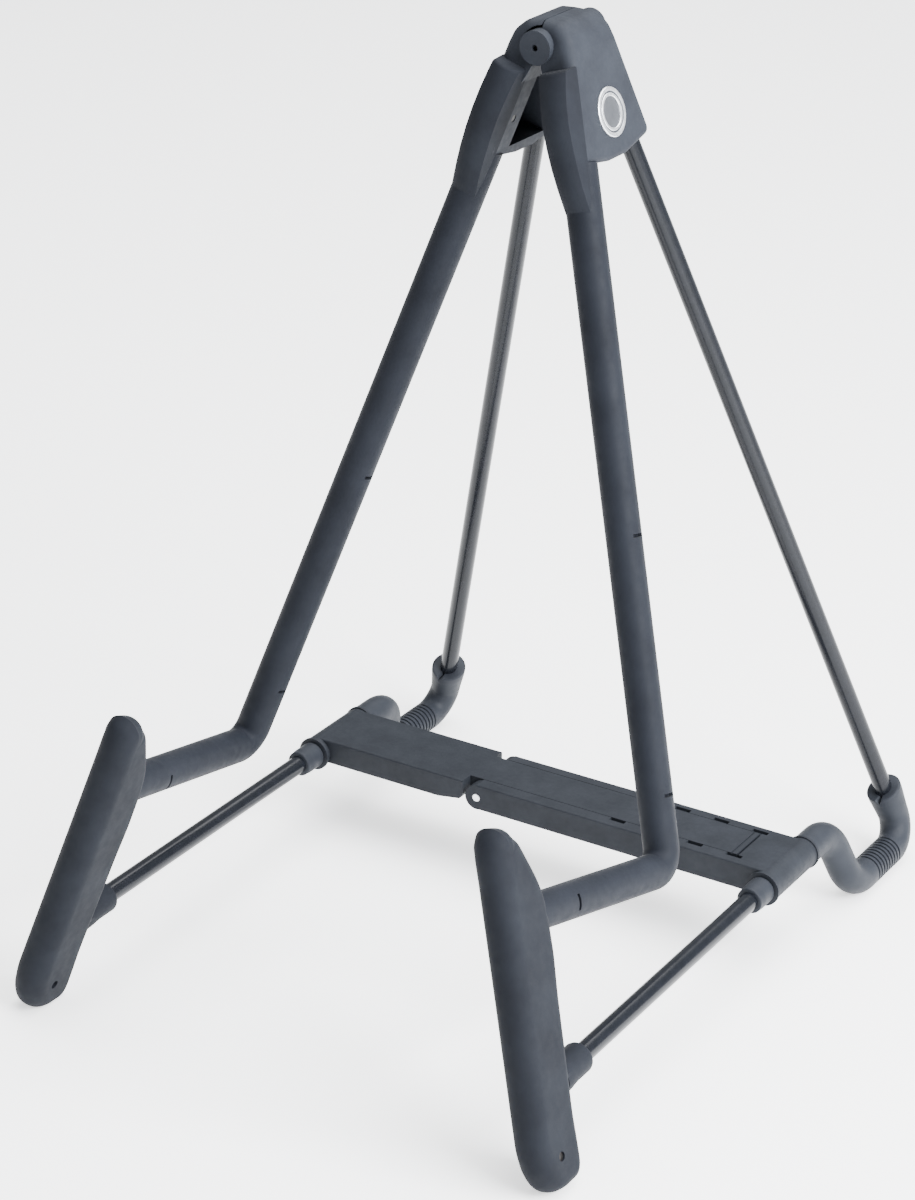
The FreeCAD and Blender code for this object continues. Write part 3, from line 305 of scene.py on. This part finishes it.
ENAMEL = black_enamel()
BASE_CORNERS = [(-180.0, LOW_RUN), (122.0, LOW_RUN), (134.0, FLOOR_RUN), (200.0, FLOOR_RUN),
                (73.7, TUBE_TOP_UP)]
BASE_BENDS = [18.0, 18.0, 13.5]
BASE_BENT_S = (280, 420)      # the bends lie between these distances
BASE_LINE = route(BASE_CORNERS, BASE_BENDS)
BASE_STEPS = stretch((0, 20), (BASE_BENT_S[0], 1.5), (BASE_BENT_S[1], 20), (BASE_LINE[0][-1], 1))
TURN_48 = np.linspace(0, 2 * np.pi, 48, endpoint=False)[None, :]
for side in (LEFT, RIGHT):
    tube = hose(WORD[side] + "_base_tube_steel", side, BASE_LINE, BASE_STEPS, TUBE_R, TUBE_BORE_R, TURN_48)
    smooth(tube)
    fit(tube, ENAMEL, side, "black_tube", "base_tube")

# ---------------------------------------------------------------- rear boots
# Grey-black rubber moulded over the drop and the rear foot. It has grip ribs where it stands, and a
# flared mouth with a small V in its front edge, which sits a little way up the rear tube.

BOOT_R = 8.5
BOOT_BORE_R = 5.0
BOOT_START_Y = 95.0
BOOT_START_EASE = 0.7
MOUTH_UP = 44.0
MOUTH_FLARE = 1.35            # how much the radius grows, how far below the rim, and over what run
MOUTH_FLARE_FROM = 22.0
MOUTH_FLARE_RUN = 20.0
MOUTH_EASE = 1.2
MOUTH_LEAN = 2.0              # the rim is twice this lower in front than behind
MOUTH_NOTCH = 2.6             # depth of the V, and half its width in radians
MOUTH_NOTCH_HALF = 0.2
MOUTH_LEAN_RUN = 9.0
RIB_FIRST_Y = 152.0
RIB_PITCH = 3.2
RIB_SLOT = 1.5
RIB_COUNT = 9
RIB_DEPTH = 0.8
RIB_EDGE = 0.12


def rubber(name, dark, light, rough, speck):
    """Moulded rubber: two close tones in soft clouds, a fine grain and faint scuffs across it."""
    material, tree, surface = shader(name, Roughness=rough, Specular_IOR_Level=0.12, Sheen_Weight=0.02,
                                     Sheen_Roughness=0.45)
    tint = ramp(tree, noise(tree, 55.0, detail=5.0), [(0.3, dark), (0.72, light)])
    tree.links.new(tint, surface.inputs["Base Color"])
    tree.links.new(spread(tree, noise(tree, 140.0, detail=4.0), rough - 0.06, rough + 0.08),
                   surface.inputs["Roughness"])
    relief(tree, surface, noise(tree, speck, detail=2.0, roughness=0.7), 0.00006, 0.5)
    relief(tree, surface, noise(tree, 90.0, detail=2.0, stretch_by=(1, 0.25, 1)), 0.0002, 0.12)
    return material


BOOT_RUBBER = rubber("boot_rubber_grey", (0.0125, 0.0145, 0.0190), (0.0180, 0.0205, 0.0260), 0.52, 2600.0)
rear_run = np.arange(len(BASE_LINE[1])) > np.argmax(BASE_LINE[1])
MOUTH_S = np.interp(MOUTH_UP, BASE_LINE[2][rear_run], BASE_LINE[0][rear_run])
BOOT_START_S = BOOT_START_Y - BASE_CORNERS[0][0]
foot_rows = np.abs(BASE_LINE[2] - FLOOR_RUN) < 0.01
RIB_START_S = np.interp(RIB_FIRST_Y, BASE_LINE[1][foot_rows], BASE_LINE[0][foot_rows])


TURN_96 = np.linspace(0, 2 * np.pi, 96, endpoint=False)[None, :]


def quarter_round(depth, share):
    """How far an eased edge has dropped: depth (1 - sqrt(1 - share^2)), with share 0 where the easing
    begins and 1 at the edge."""
    return depth * (1 - np.sqrt(1 - np.clip(share, 0, 1) ** 2))


def smooth_step(share):
    """From 0 to 1 with a level start and end: 3 share^2 - 2 share^3."""
    share = np.clip(share, 0, 1)
    return share * share * (3 - 2 * share)


def apart(angles, place):
    """Angle from "place" round to each of the angles, the shorter way."""
    return np.abs(np.angle(np.exp(1j * (angles - place))))


def boot_grid():
    """Radius along the boot: a rounded front edge, square grooves at an even pitch under the foot, and a
    mouth that widens by a smooth step. The rim leans, and dips by a V at the front."""
    slot = np.array([0, RIB_EDGE, RIB_SLOT - RIB_EDGE, RIB_SLOT])
    rib_edges = RIB_START_S + RIB_PITCH * np.arange(RIB_COUNT)[:, None] + slot
    plain = stretch((BOOT_START_S, 0.5), (BOOT_START_S + 2, 2.0), (MOUTH_S - 24, 1.0), (MOUTH_S - 2, 0.25),
                    (MOUTH_S, 1))[:, 0]
    keep = (plain < RIB_START_S - 1) | (plain > rib_edges[-1, -1] + 1)
    distance = np.concatenate([plain[keep], rib_edges.ravel(),
                               RIB_START_S + RIB_PITCH * (np.arange(RIB_COUNT - 1) + 0.72)])
    distance = np.sort(np.append(distance, [RIB_START_S - 0.8, rib_edges[-1, -1] + 0.8]))[:, None]
    place = distance - RIB_START_S
    in_rib = (place % RIB_PITCH > RIB_EDGE / 2) & (place % RIB_PITCH < RIB_SLOT - RIB_EDGE / 2) & \
        (place > 0) & (place < RIB_PITCH * (RIB_COUNT - 1) + RIB_SLOT)
    radius = BOOT_R - RIB_DEPTH * in_rib
    radius = radius + MOUTH_FLARE * smooth_step((distance - MOUTH_S + MOUTH_FLARE_FROM) / MOUTH_FLARE_RUN)
    radius = radius - quarter_round(MOUTH_EASE, 1 - (MOUTH_S - distance) / MOUTH_EASE)
    radius = radius - quarter_round(BOOT_START_EASE, 1 - (distance - BOOT_START_S))
    weight = np.clip((distance - MOUTH_S + MOUTH_LEAN_RUN) / MOUTH_LEAN_RUN, 0, 1)
    notch = np.clip(1 - apart(TURN_96, np.pi / 2) / MOUTH_NOTCH_HALF, 0, 1)
    return distance - weight * (MOUTH_LEAN * np.sin(TURN_96) + MOUTH_NOTCH * notch + MOUTH_LEAN), radius


for side in (LEFT, RIGHT):
    along, radius = boot_grid()
    boot = hose(WORD[side] + "_rear_boot_rubber", side, BASE_LINE, along, radius, BOOT_BORE_R, TURN_96)
    smooth(boot)
    fit(boot, BOOT_RUBBER, side, "boot_rubber", "rear_boot")

# ---------------------------------------------------------------- tube collars
# A short rubber ring in front of each barrel, pushed onto the lower run so that the barrel can't slide.
# Both of its edges are rounded, and its front end is a shade thinner than the rest.

COLLAR_R = 7.0
COLLAR_Y = (31.9, 46.6)
COLLAR_EASE = 0.9
COLLAR_STEP_AT = 3.0
COLLAR_STEP = 0.25
for side in (LEFT, RIGHT):
    start, end = np.array(COLLAR_Y) - BASE_CORNERS[0][0]
    along = stretch((start, 0.15), (start + 1.2, 1.5), (end - 1.2, 0.15), (end, 1))
    radius = COLLAR_R - quarter_round(COLLAR_EASE, 1 - np.minimum(along - start, end - along) / COLLAR_EASE)
    radius = radius + COLLAR_STEP * np.clip((along - start - COLLAR_STEP_AT) / 0.4, 0, 1)
    collar = hose(WORD[side] + "_tube_collar_rubber", side, BASE_LINE, along, radius, TUBE_R, TURN_48)
    smooth(collar)
    fit(collar, BOOT_RUBBER, side, "boot_rubber", "tube_collar")

# ---------------------------------------------------------------- crossbar and its knee pin
# Two glass-filled nylon mouldings. The left one carries a long tongue that lies in a channel of the
# right one; they turn on a steel pin through the right one's cheeks, and on the lower tubes at the ends.


def moulded(name, dark, light, rough, grain):
    """Glass-filled nylon: dark grey with a spark-eroded grain and slightly polished high spots."""
    material, tree, surface = shader(name, Roughness=rough, Specular_IOR_Level=0.13)
    tint = ramp(tree, noise(tree, 70.0, detail=6.0), [(0.32, dark), (0.7, light)])
    tree.links.new(tint, surface.inputs["Base Color"])
    tree.links.new(spread(tree, noise(tree, 300.0, detail=3.0), rough - 0.07, rough + 0.07),
                   surface.inputs["Roughness"])
    relief(tree, surface, noise(tree, grain, detail=2.0, roughness=0.6), 0.00005, 0.6)
    return material


BAR_NYLON = moulded("crossbar_nylon", (0.0105, 0.0122, 0.0158), (0.0150, 0.0172, 0.0218), 0.6, 2200.0)


def dress(node_name, material):
    """Give a solid of the stand its finish."""
    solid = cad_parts[node_name]
    solid.data.materials.clear()
    solid.data.materials.append(material)


dress("crossbar_left", BAR_NYLON)
dress("crossbar_right", BAR_NYLON)


def bright_steel():
    """Turned steel: bright, with fine turning rings round the pin."""
    material, tree, surface = shader("bright_steel", Metallic=1.0, Roughness=0.3)
    tint = ramp(tree, noise(tree, 400.0), [(0.3, (0.62, 0.63, 0.65)), (0.7, (0.78, 0.79, 0.8))])
    tree.links.new(tint, surface.inputs["Base Color"])
    tree.links.new(spread(tree, noise(tree, 1200.0, stretch_by=(1, 0.2, 1)), 0.24, 0.38),
                   surface.inputs["Roughness"])
    relief(tree, surface, noise(tree, 1500.0), 0.00002, 0.3)
    return material


STEEL = bright_steel()
dress("knee_pin", STEEL)

# ---------------------------------------------------------------- front tubes and their hose
# The front tube runs from the pad along the arm and up the leg into the head. A soft hose covers it, and
# short slits in the hose let the air out as it is drawn on over the tight elbow.

HOSE_R = 9.0
ELBOW = (-36.3, 95.4)
LEG_TOP = (43.4, TUBE_TOP_UP)
LEG_BEND = 11.0
LEG_BENT_S = (115, 165)       # the elbow lies between these distances
SLEEVE_START_Y = -153.0
SLEEVE_TOP = 433.5
SLIT_ARM_Y = -123.3           # places of the slits: one on the arm, two up the leg
SLIT_LEG_UP = (131.2, 256.5)
SLIT_FLOOR = 6.2              # how near the hose's middle line a slit goes
SLIT_HALF = 0.85
SLIT_REACH = math.asin(4.0 / HOSE_R)
SLIT_EDGE = 0.02              # half the slope of a slit's walls, in mm and in radians
SLIT_EDGE_TURN = 0.004
LEG_LINE = route([(-168.0, 128.3), ELBOW, LEG_TOP], [LEG_BEND])
ELBOW_ROW = np.argmin(np.hypot(LEG_LINE[1] - ELBOW[0], LEG_LINE[2] - ELBOW[1]))


def soft_hose():
    """Foamed rubber hose: matt, with a soft bloom and hair-fine extrusion lines."""
    material, tree, surface = shader("soft_hose_skin", Roughness=0.6, Specular_IOR_Level=0.08,
                                     Sheen_Weight=0.02, Sheen_Roughness=0.4)
    tint = ramp(tree, noise(tree, 40.0, detail=6.0), [(0.3, (0.0070, 0.0082, 0.0115)),
                                                      (0.72, (0.0110, 0.0128, 0.0175))])
    tree.links.new(tint, surface.inputs["Base Color"])
    tree.links.new(spread(tree, noise(tree, 180.0, detail=4.0), 0.52, 0.68), surface.inputs["Roughness"])
    relief(tree, surface, noise(tree, 1900.0, detail=2.0, roughness=0.7), 0.00007, 0.5)
    relief(tree, surface, noise(tree, 300.0, detail=1.0, stretch_by=(1, 1, 0.12)), 0.0001, 0.2)
    return material


def along_arm(back):
    """Distance along the front tube where its arm is this far back."""
    return np.interp(back, LEG_LINE[1][:ELBOW_ROW], LEG_LINE[0][:ELBOW_ROW])


def along_leg(up):
    """Distance along the front tube where its leg is this far up."""
    return np.interp(up, LEG_LINE[2][ELBOW_ROW:], LEG_LINE[0][ELBOW_ROW:])


def wall_pairs(places, half, slope):
    """Both edges of both walls of a slit at each place."""
    offsets = (-half - slope, -half + slope, half - slope, half + slope)
    return [place + offset for place in places for offset in offsets]


def sleeve_grid():
    """Radius along and round the hose. At a slit the surface drops to a flat floor across each face:
    radius = floor / cos(angle) as far as the slit reaches, and the hose's own radius elsewhere."""
    slits = [along_arm(SLIT_ARM_Y)] + [along_leg(up) for up in SLIT_LEG_UP]
    along = stretch((along_arm(SLEEVE_START_Y), 8), (LEG_BENT_S[0], 1.0), (LEG_BENT_S[1], 8),
                    (along_leg(SLEEVE_TOP), 1))
    along = np.sort(np.concatenate([along[:, 0], wall_pairs(slits, SLIT_HALF, SLIT_EDGE)]))[:, None]
    near_slit = np.min([np.abs(along - slit) for slit in slits], axis=0) < SLIT_HALF
    swing = np.minimum(apart(HOSE_TURN, 0.0), apart(HOSE_TURN, np.pi))
    return along, np.where(near_slit & (swing < SLIT_REACH), SLIT_FLOOR / np.cos(swing), HOSE_R)


HOSE_SKIN = soft_hose()
slit_turns = np.array(wall_pairs((0.0, np.pi), SLIT_REACH, SLIT_EDGE_TURN)) % (2 * np.pi)
HOSE_TURN = np.sort(np.concatenate([np.linspace(0, 2 * np.pi, 72, endpoint=False), slit_turns]))[None, :]
for side in (LEFT, RIGHT):
    along, radius = sleeve_grid()
    sleeve = hose(WORD[side] + "_leg_sleeve_hose", side, LEG_LINE, along, radius, TUBE_R, HOSE_TURN)
    smooth(sleeve)
    fit(sleeve, HOSE_SKIN, side, "soft_hose", "leg_sleeve")
    dress(WORD[side] + "_leg_tube", ENAMEL)

# ---------------------------------------------------------------- pads
# Soft moulded covers over a stiff core. The front is a half round that the guitar's edge leans on, the
# back swells where the arm goes in, and a short boss takes the lower tube.

PAD_HALF = 9.4
PAD_SWELL = 0.1
PAD_FRONT_RIM = 9.2
PAD_BACK_RIM = 5.6
PAD_FRONT = [(-184.5, 1.25), (-192.5, 1.4), (-197.6, 6.0), (-200.6, 14.0), (-201.2, 24.0), (-188.0, 94.0),
             (-177.4, 152.0), (-175.9, 162.0), (-173.2, 169.8), (-167.4, 174.0)]
PAD_BACK = [(-184.5, 1.25), (-174.0, 1.4), (-170.3, 6.0), (-169.0, 14.0), (-166.8, 30.0), (-155.2, 85.0),
            (-150.2, 104.5), (-147.6, 122.0), (-147.2, 134.0), (-149.0, 142.5), (-155.6, 163.0),
            (-159.4, 170.8), (-167.4, 174.0)]
PAD_SPINE = [(-184.5, 15.5), (-166.0, 160.0)]
PAD_COLUMNS = 150
PAD_SOFTEN = 6


def eased(points, count, soften):
    """A line through points, evenly spaced, each place averaged with its neighbours to ease the corners;
    both ends stay where they are."""
    points = np.array(points, float)
    reach = np.concatenate([[0], np.cumsum(np.linalg.norm(np.diff(points, axis=0), axis=1))])
    even = np.linspace(0, reach[-1], count)
    line = np.stack([np.interp(even, reach, points[:, i]) for i in (0, 1)], -1)
    for _ in range(soften):
        line[1:-1] = line[1:-1] * 0.5 + (line[:-2] + line[2:]) * 0.25
    return line


def pillow(name, side, front, back, spine, half, front_rim, back_rim, swell):
    """A padded slab. Its side outline is front then back, and every outline point has its partner on the
    spine. Towards the spine by d, the surface lies at n = half - r + r sin p with d = r (1 - cos p) over
    the rim, and rises by "swell" in a parabola from the rim to the spine. The rim radius r goes from
    back_rim to front_rim with the way the outline faces."""
    ends = np.clip((np.linspace(0, 1, len(front)) - 0.09) / 0.82, 0, 1)[:, None]
    middle = np.array(spine[0]) + ends * (np.array(spine[1]) - np.array(spine[0]))
    outline = np.concatenate([front, back[-2:0:-1]])
    partner = np.concatenate([middle, middle[-2:0:-1]])
    reach = np.linalg.norm(partner - outline, axis=1)
    inward = (partner - outline) / reach[:, None]
    faces_front = np.maximum(inward[:, 0], -inward[:, 1]) * 1.3
    rim = back_rim + (front_rim - back_rim) * smooth_step(faces_front)
    swell = swell * np.clip((reach - rim) / 8.0, 0, 1)
    flat = np.array([0.12, 0.35, 0.6, 0.82])[:, None]
    p = np.linspace(np.pi / 2, 0, 14)[:, None]
    depth = np.concatenate([reach - flat * (reach - rim), rim * (1 - np.cos(p))])
    rise = np.concatenate([half + swell * (1 - flat ** 2), half - rim + rim * np.sin(p)])
    depth = np.concatenate([depth, depth[::-1]])
    rise = np.concatenate([rise, -rise[::-1]])
    spots = outline + depth[:, :, None] * inward
    return skin(name, stand(side, rise, spots[..., 0], spots[..., 1]), ladder=True)


def soft_cover():
    """Soft-touch cover: fine leather-like grain, matt with a pale bloom at glancing angles."""
    material, tree, surface = shader("soft_cover_skin", Roughness=0.72, Specular_IOR_Level=0.08,
                                     Sheen_Weight=0.02, Sheen_Roughness=0.4)
    tint = ramp(tree, noise(tree, 45.0, detail=6.0), [(0.3, (0.0070, 0.0080, 0.0110)),
                                                      (0.72, (0.0110, 0.0128, 0.0170))])
    tree.links.new(tint, surface.inputs["Base Color"])
    tree.links.new(spread(tree, noise(tree, 200.0, detail=4.0), 0.66, 0.78), surface.inputs["Roughness"])
    relief(tree, surface, noise(tree, 1500.0, detail=3.0, roughness=0.7), 0.00006, 0.4)
    return material


def welded(piece):
    """Points in the same place become one, and faces with no area go."""
    work = bmesh.new()
    work.from_mesh(piece.data)
    bmesh.ops.remove_doubles(work, verts=work.verts, dist=1e-7)
    bmesh.ops.dissolve_degenerate(work, edges=work.edges, dist=1e-8)
    work.to_mesh(piece.data)
    work.free()


def carved(piece, added=(), removed=()):
    """Join and cut solids into a piece, and keep the result as its own mesh."""
    for tools, operation in ((added, "UNION"), (removed, "DIFFERENCE")):
        for tool in tools:
            step = piece.modifiers.new(operation.lower(), "BOOLEAN")
            step.operation = operation
            step.solver = "EXACT"
            step.object = tool
    bpy.context.view_layer.update()
    evaluated = piece.evaluated_get(bpy.context.evaluated_depsgraph_get())
    result = bpy.data.meshes.new_from_object(evaluated)
    piece.modifiers.clear()
    piece.data = result
    for tool in (*added, *removed):
        bpy.data.objects.remove(tool)


def turned(name, side, centre, way, profile, count=48):
    """A turned solid: radius r at distance d along "way" from "centre", both in the side frame."""
    way = np.array(way, float)
    across = np.cross(way, [0, 0, 1.0]) if abs(way[2]) < 0.9 else np.array([1.0, 0, 0])
    across = across / np.linalg.norm(across)
    third = np.cross(way, across)
    turn = np.linspace(0, 2 * np.pi, count, endpoint=False)[None, :, None]
    d, r = (np.array(profile, float)[:, i][:, None, None] for i in (0, 1))
    spots = np.array(centre, float) + d * way + r * (np.cos(turn) * across + np.sin(turn) * third)
    return skin(name, stand(side, spots[..., 0], spots[..., 1], spots[..., 2]))


def blackened_steel():
    """Oiled black oxide on steel: dark, half dull, slightly brown where it has worn."""
    material, tree, surface = shader("blackened_steel", Metallic=0.8, Roughness=0.5)
    tint = ramp(tree, noise(tree, 700.0), [(0.3, (0.012, 0.012, 0.013)), (0.75, (0.03, 0.027, 0.025))])
    tree.links.new(tint, surface.inputs["Base Color"])
    tree.links.new(spread(tree, noise(tree, 900.0), 0.4, 0.6), surface.inputs["Roughness"])
    relief(tree, surface, noise(tree, 1800.0), 0.00002, 0.3)
    return material


COVER_SKIN = soft_cover()
BLACKENED = blackened_steel()
BOSS_START_Y = -166.0
BOSS = [(0, 8.8), (5.0, 8.6), (8.5, 8.25), (11.5, 8.0), (22.6, 8.0), (23.6, 7.7), (24.0, 7.0)]
SCREW_AT = (-186.5, 18.0)
HOLE_FLOOR = 6.9              # the screw's hole goes down to this far from the pad's middle plane
HOLE_R = 2.3
for side in (LEFT, RIGHT):
    front = eased(PAD_FRONT, PAD_COLUMNS, PAD_SOFTEN)
    back = eased(PAD_BACK, PAD_COLUMNS, PAD_SOFTEN)
    cover = pillow(WORD[side] + "_pad_cover_soft", side, front, back, PAD_SPINE, PAD_HALF - PAD_SWELL,
                   PAD_FRONT_RIM, PAD_BACK_RIM, PAD_SWELL)
    welded(cover)
    boss = turned("boss", side, (0, BOSS_START_Y, LOW_RUN), (0, 1, 0), BOSS)
    holes = [turned("hole", side, (face * HOLE_FLOOR, *SCREW_AT), (face, 0, 0),
                    [(0, HOLE_R), (6, HOLE_R)], 32) for face in (-1, 1)]
    carved(cover, [boss], holes)
    smooth(cover, 40)
    fit(cover, COVER_SKIN, side, "soft_cover", "pad_cover")
    dress(WORD[side] + "_pad_core", BAR_NYLON)
    dress(WORD[side] + "_pad_screw", BLACKENED)

# ---------------------------------------------------------------- head
# Two nylon mouldings that hinge on a pin from front to back. Each grips its two tubes with grub screws.
# All their shapes come from the solids; only their finish is given here.

HEAD_NYLON = moulded("head_nylon", (0.0135, 0.0155, 0.0205), (0.0190, 0.0220, 0.0285), 0.68, 2000.0)
for side in (LEFT, RIGHT):
    dress(WORD[side] + "_head", HEAD_NYLON)
    dress(WORD[side] + "_tube_screws", BLACKENED)
dress("head_pin", BLACKENED)

# ---------------------------------------------------------------- back cushions
# Soft cushions pushed over the front of the head and the top of each leg, where the guitar's back leans.
# The front is rounded, and each side has a flat facet that runs down to a point.

# the crease between nose and facet, upwards: (back, up, half width)
CUSHION_CREASE = [(24.6, 410.0, 6.9), (23.8, 415.0, 7.0), (22.3, 425.0, 7.1), (21.6, 435.0, 7.3),
                  (21.7, 445.0, 7.4), (22.6, 455.0, 7.4), (24.9, 465.0, 7.5), (28.2, 474.0, 7.6),
                  (30.6, 479.4, 7.6)]
CUSHION_NOSE = 2.7
CUSHION_FOOT = 410.0
CUSHION_FULL = 432.0          # from the foot up to here the back grows from the first half width
CUSHION_SIDE = (7.0, 8.3)     # to the second
CUSHION_TOP = 479.4
CUSHION_CAP = 3.2             # rows get closer over this much below the top
CUSHION_SEAT = 5.0            # how far the flat back is in front of the tube's line
CUSHION_RIM = 1.3
CUSHION_FOOT_EASE = 0.5
CUSHION_SIDE_EASE = 0.6       # share of the easing that the width gets


def faceted_section(crease, half, back, out):
    """Going round: a round nose, a = NOSE (q^2 - 1) ahead of the crease at n = half q, from q = 0 to the
    crease at q = 1; then a flat facet to n = out at "back"; then the flat back."""
    q = np.linspace(0, 1, 14)[None, :]
    nose_y = crease + CUSHION_NOSE * (q * q - 1)
    nose_n = half * q
    t = np.linspace(0, 1, 8)[None, 1:]
    side_y = crease + t * (back - crease)
    side_n = half + t * (out - half)
    end_n = out * np.array([[0.66, 0.33, 0.0]])
    y = np.concatenate([nose_y, side_y, back + 0 * end_n], 1)
    n = np.concatenate([nose_n, side_n, end_n], 1)
    return np.concatenate([n, -n[:, -2:0:-1]], 1), np.concatenate([y, y[:, -2:0:-1]], 1)


for side in (LEFT, RIGHT):
    crease, height, half = np.array(CUSHION_CREASE).T
    cap = np.sin(np.linspace(0, np.pi / 2, 10)[1:])
    up = np.concatenate([np.linspace(CUSHION_FOOT, CUSHION_FOOT + 1, 5),
                         np.linspace(CUSHION_FOOT + 2, CUSHION_TOP - CUSHION_CAP, 50),
                         CUSHION_TOP - CUSHION_CAP * (1 - cap)])[:, None]
    crease, half = (np.interp(up, height, line) for line in (crease, half))
    ease = quarter_round(CUSHION_RIM, (up - CUSHION_TOP) / CUSHION_RIM + 1)
    from_foot = (CUSHION_FOOT + CUSHION_FOOT_EASE - up) / CUSHION_FOOT_EASE
    ease = ease + quarter_round(CUSHION_FOOT_EASE, from_foot)
    tube_line = ELBOW[0] + (up - ELBOW[1]) * (LEG_TOP[0] - ELBOW[0]) / (LEG_TOP[1] - ELBOW[1])
    out = np.interp(up, [CUSHION_FOOT, CUSHION_FULL], CUSHION_SIDE) - CUSHION_SIDE_EASE * ease
    n, b = faceted_section(crease + ease, half - CUSHION_SIDE_EASE * ease, tube_line - CUSHION_SEAT, out)
    cushion = skin(WORD[side] + "_back_cushion_soft", stand(side, n, b, up))
    smooth(cushion, 12)
    fit(cushion, COVER_SKIN, side, "soft_cover", "back_cushion")

# ---------------------------------------------------------------- badges
# A plain round aluminium badge with two raised rings, glued into a seat in each head half. The fields
# beside the rings are a little sunk.

BADGE_AT = (61.5, 451.98)
BADGE_FACE = 8.6
BADGE_REACH = 12.5            # the radius at which "from_middle" is 1
BADGE_COLUMNS = 96
# half section, from the middle of the back round to the middle of the face: (outwards, radius)
BADGE_PROFILE = [(-1.2, 0.4), (-1.2, 12.3), (-0.1, 12.3), (0.25, 11.9), (0.25, 10.3), (-0.15, 10.0),
                 (-0.15, 9.4), (0.15, 9.1), (0.15, 8.0), (-0.25, 7.7), (-0.25, 0.4)]


def ringed_aluminium():
    """Satin aluminium with two bright rings; the fields between and inside them are lacquered grey."""
    material, tree, surface = shader("badge_aluminium", Metallic=0.9, Roughness=0.35)
    reach = node(tree, "ShaderNodeAttribute", attribute_name="from_middle")
    paint = ramp(tree, reach.outputs["Fac"], [(0.0, (0.16, 0.17, 0.19)), (0.61, (0.2, 0.21, 0.23)),
                                              (0.63, (0.82, 0.84, 0.86)), (0.735, (0.82, 0.84, 0.86)),
                                              (0.75, (0.13, 0.14, 0.16)), (0.81, (0.13, 0.14, 0.16)),
                                              (0.83, (0.85, 0.87, 0.9)), (0.98, (0.7, 0.72, 0.75))])
    tree.links.new(paint, surface.inputs["Base Color"])
    tree.links.new(spread(tree, noise(tree, 900.0, stretch_by=(1, 1, 0.2)), 0.28, 0.42),
                   surface.inputs["Roughness"])
    relief(tree, surface, noise(tree, 1600.0, stretch_by=(1, 1, 0.15)), 0.00002, 0.3)
    return material


BADGE_METAL = ringed_aluminium()
for side in (LEFT, RIGHT):
    disc = turned(WORD[side] + "_badge_rings", side, (BADGE_FACE, *BADGE_AT), (1, 0, 0), BADGE_PROFILE,
                  BADGE_COLUMNS)
    ring_radii = np.repeat([radius for _, radius in BADGE_PROFILE], BADGE_COLUMNS)
    reach = np.append(ring_radii, [0.0, 0.0]).astype(np.float32) / BADGE_REACH
    disc.data.attributes.new("from_middle", "FLOAT", "POINT").data.foreach_set("value", reach)
    smooth(disc, 30)
    fit(disc, BADGE_METAL, side, "badge_metal", "badge")
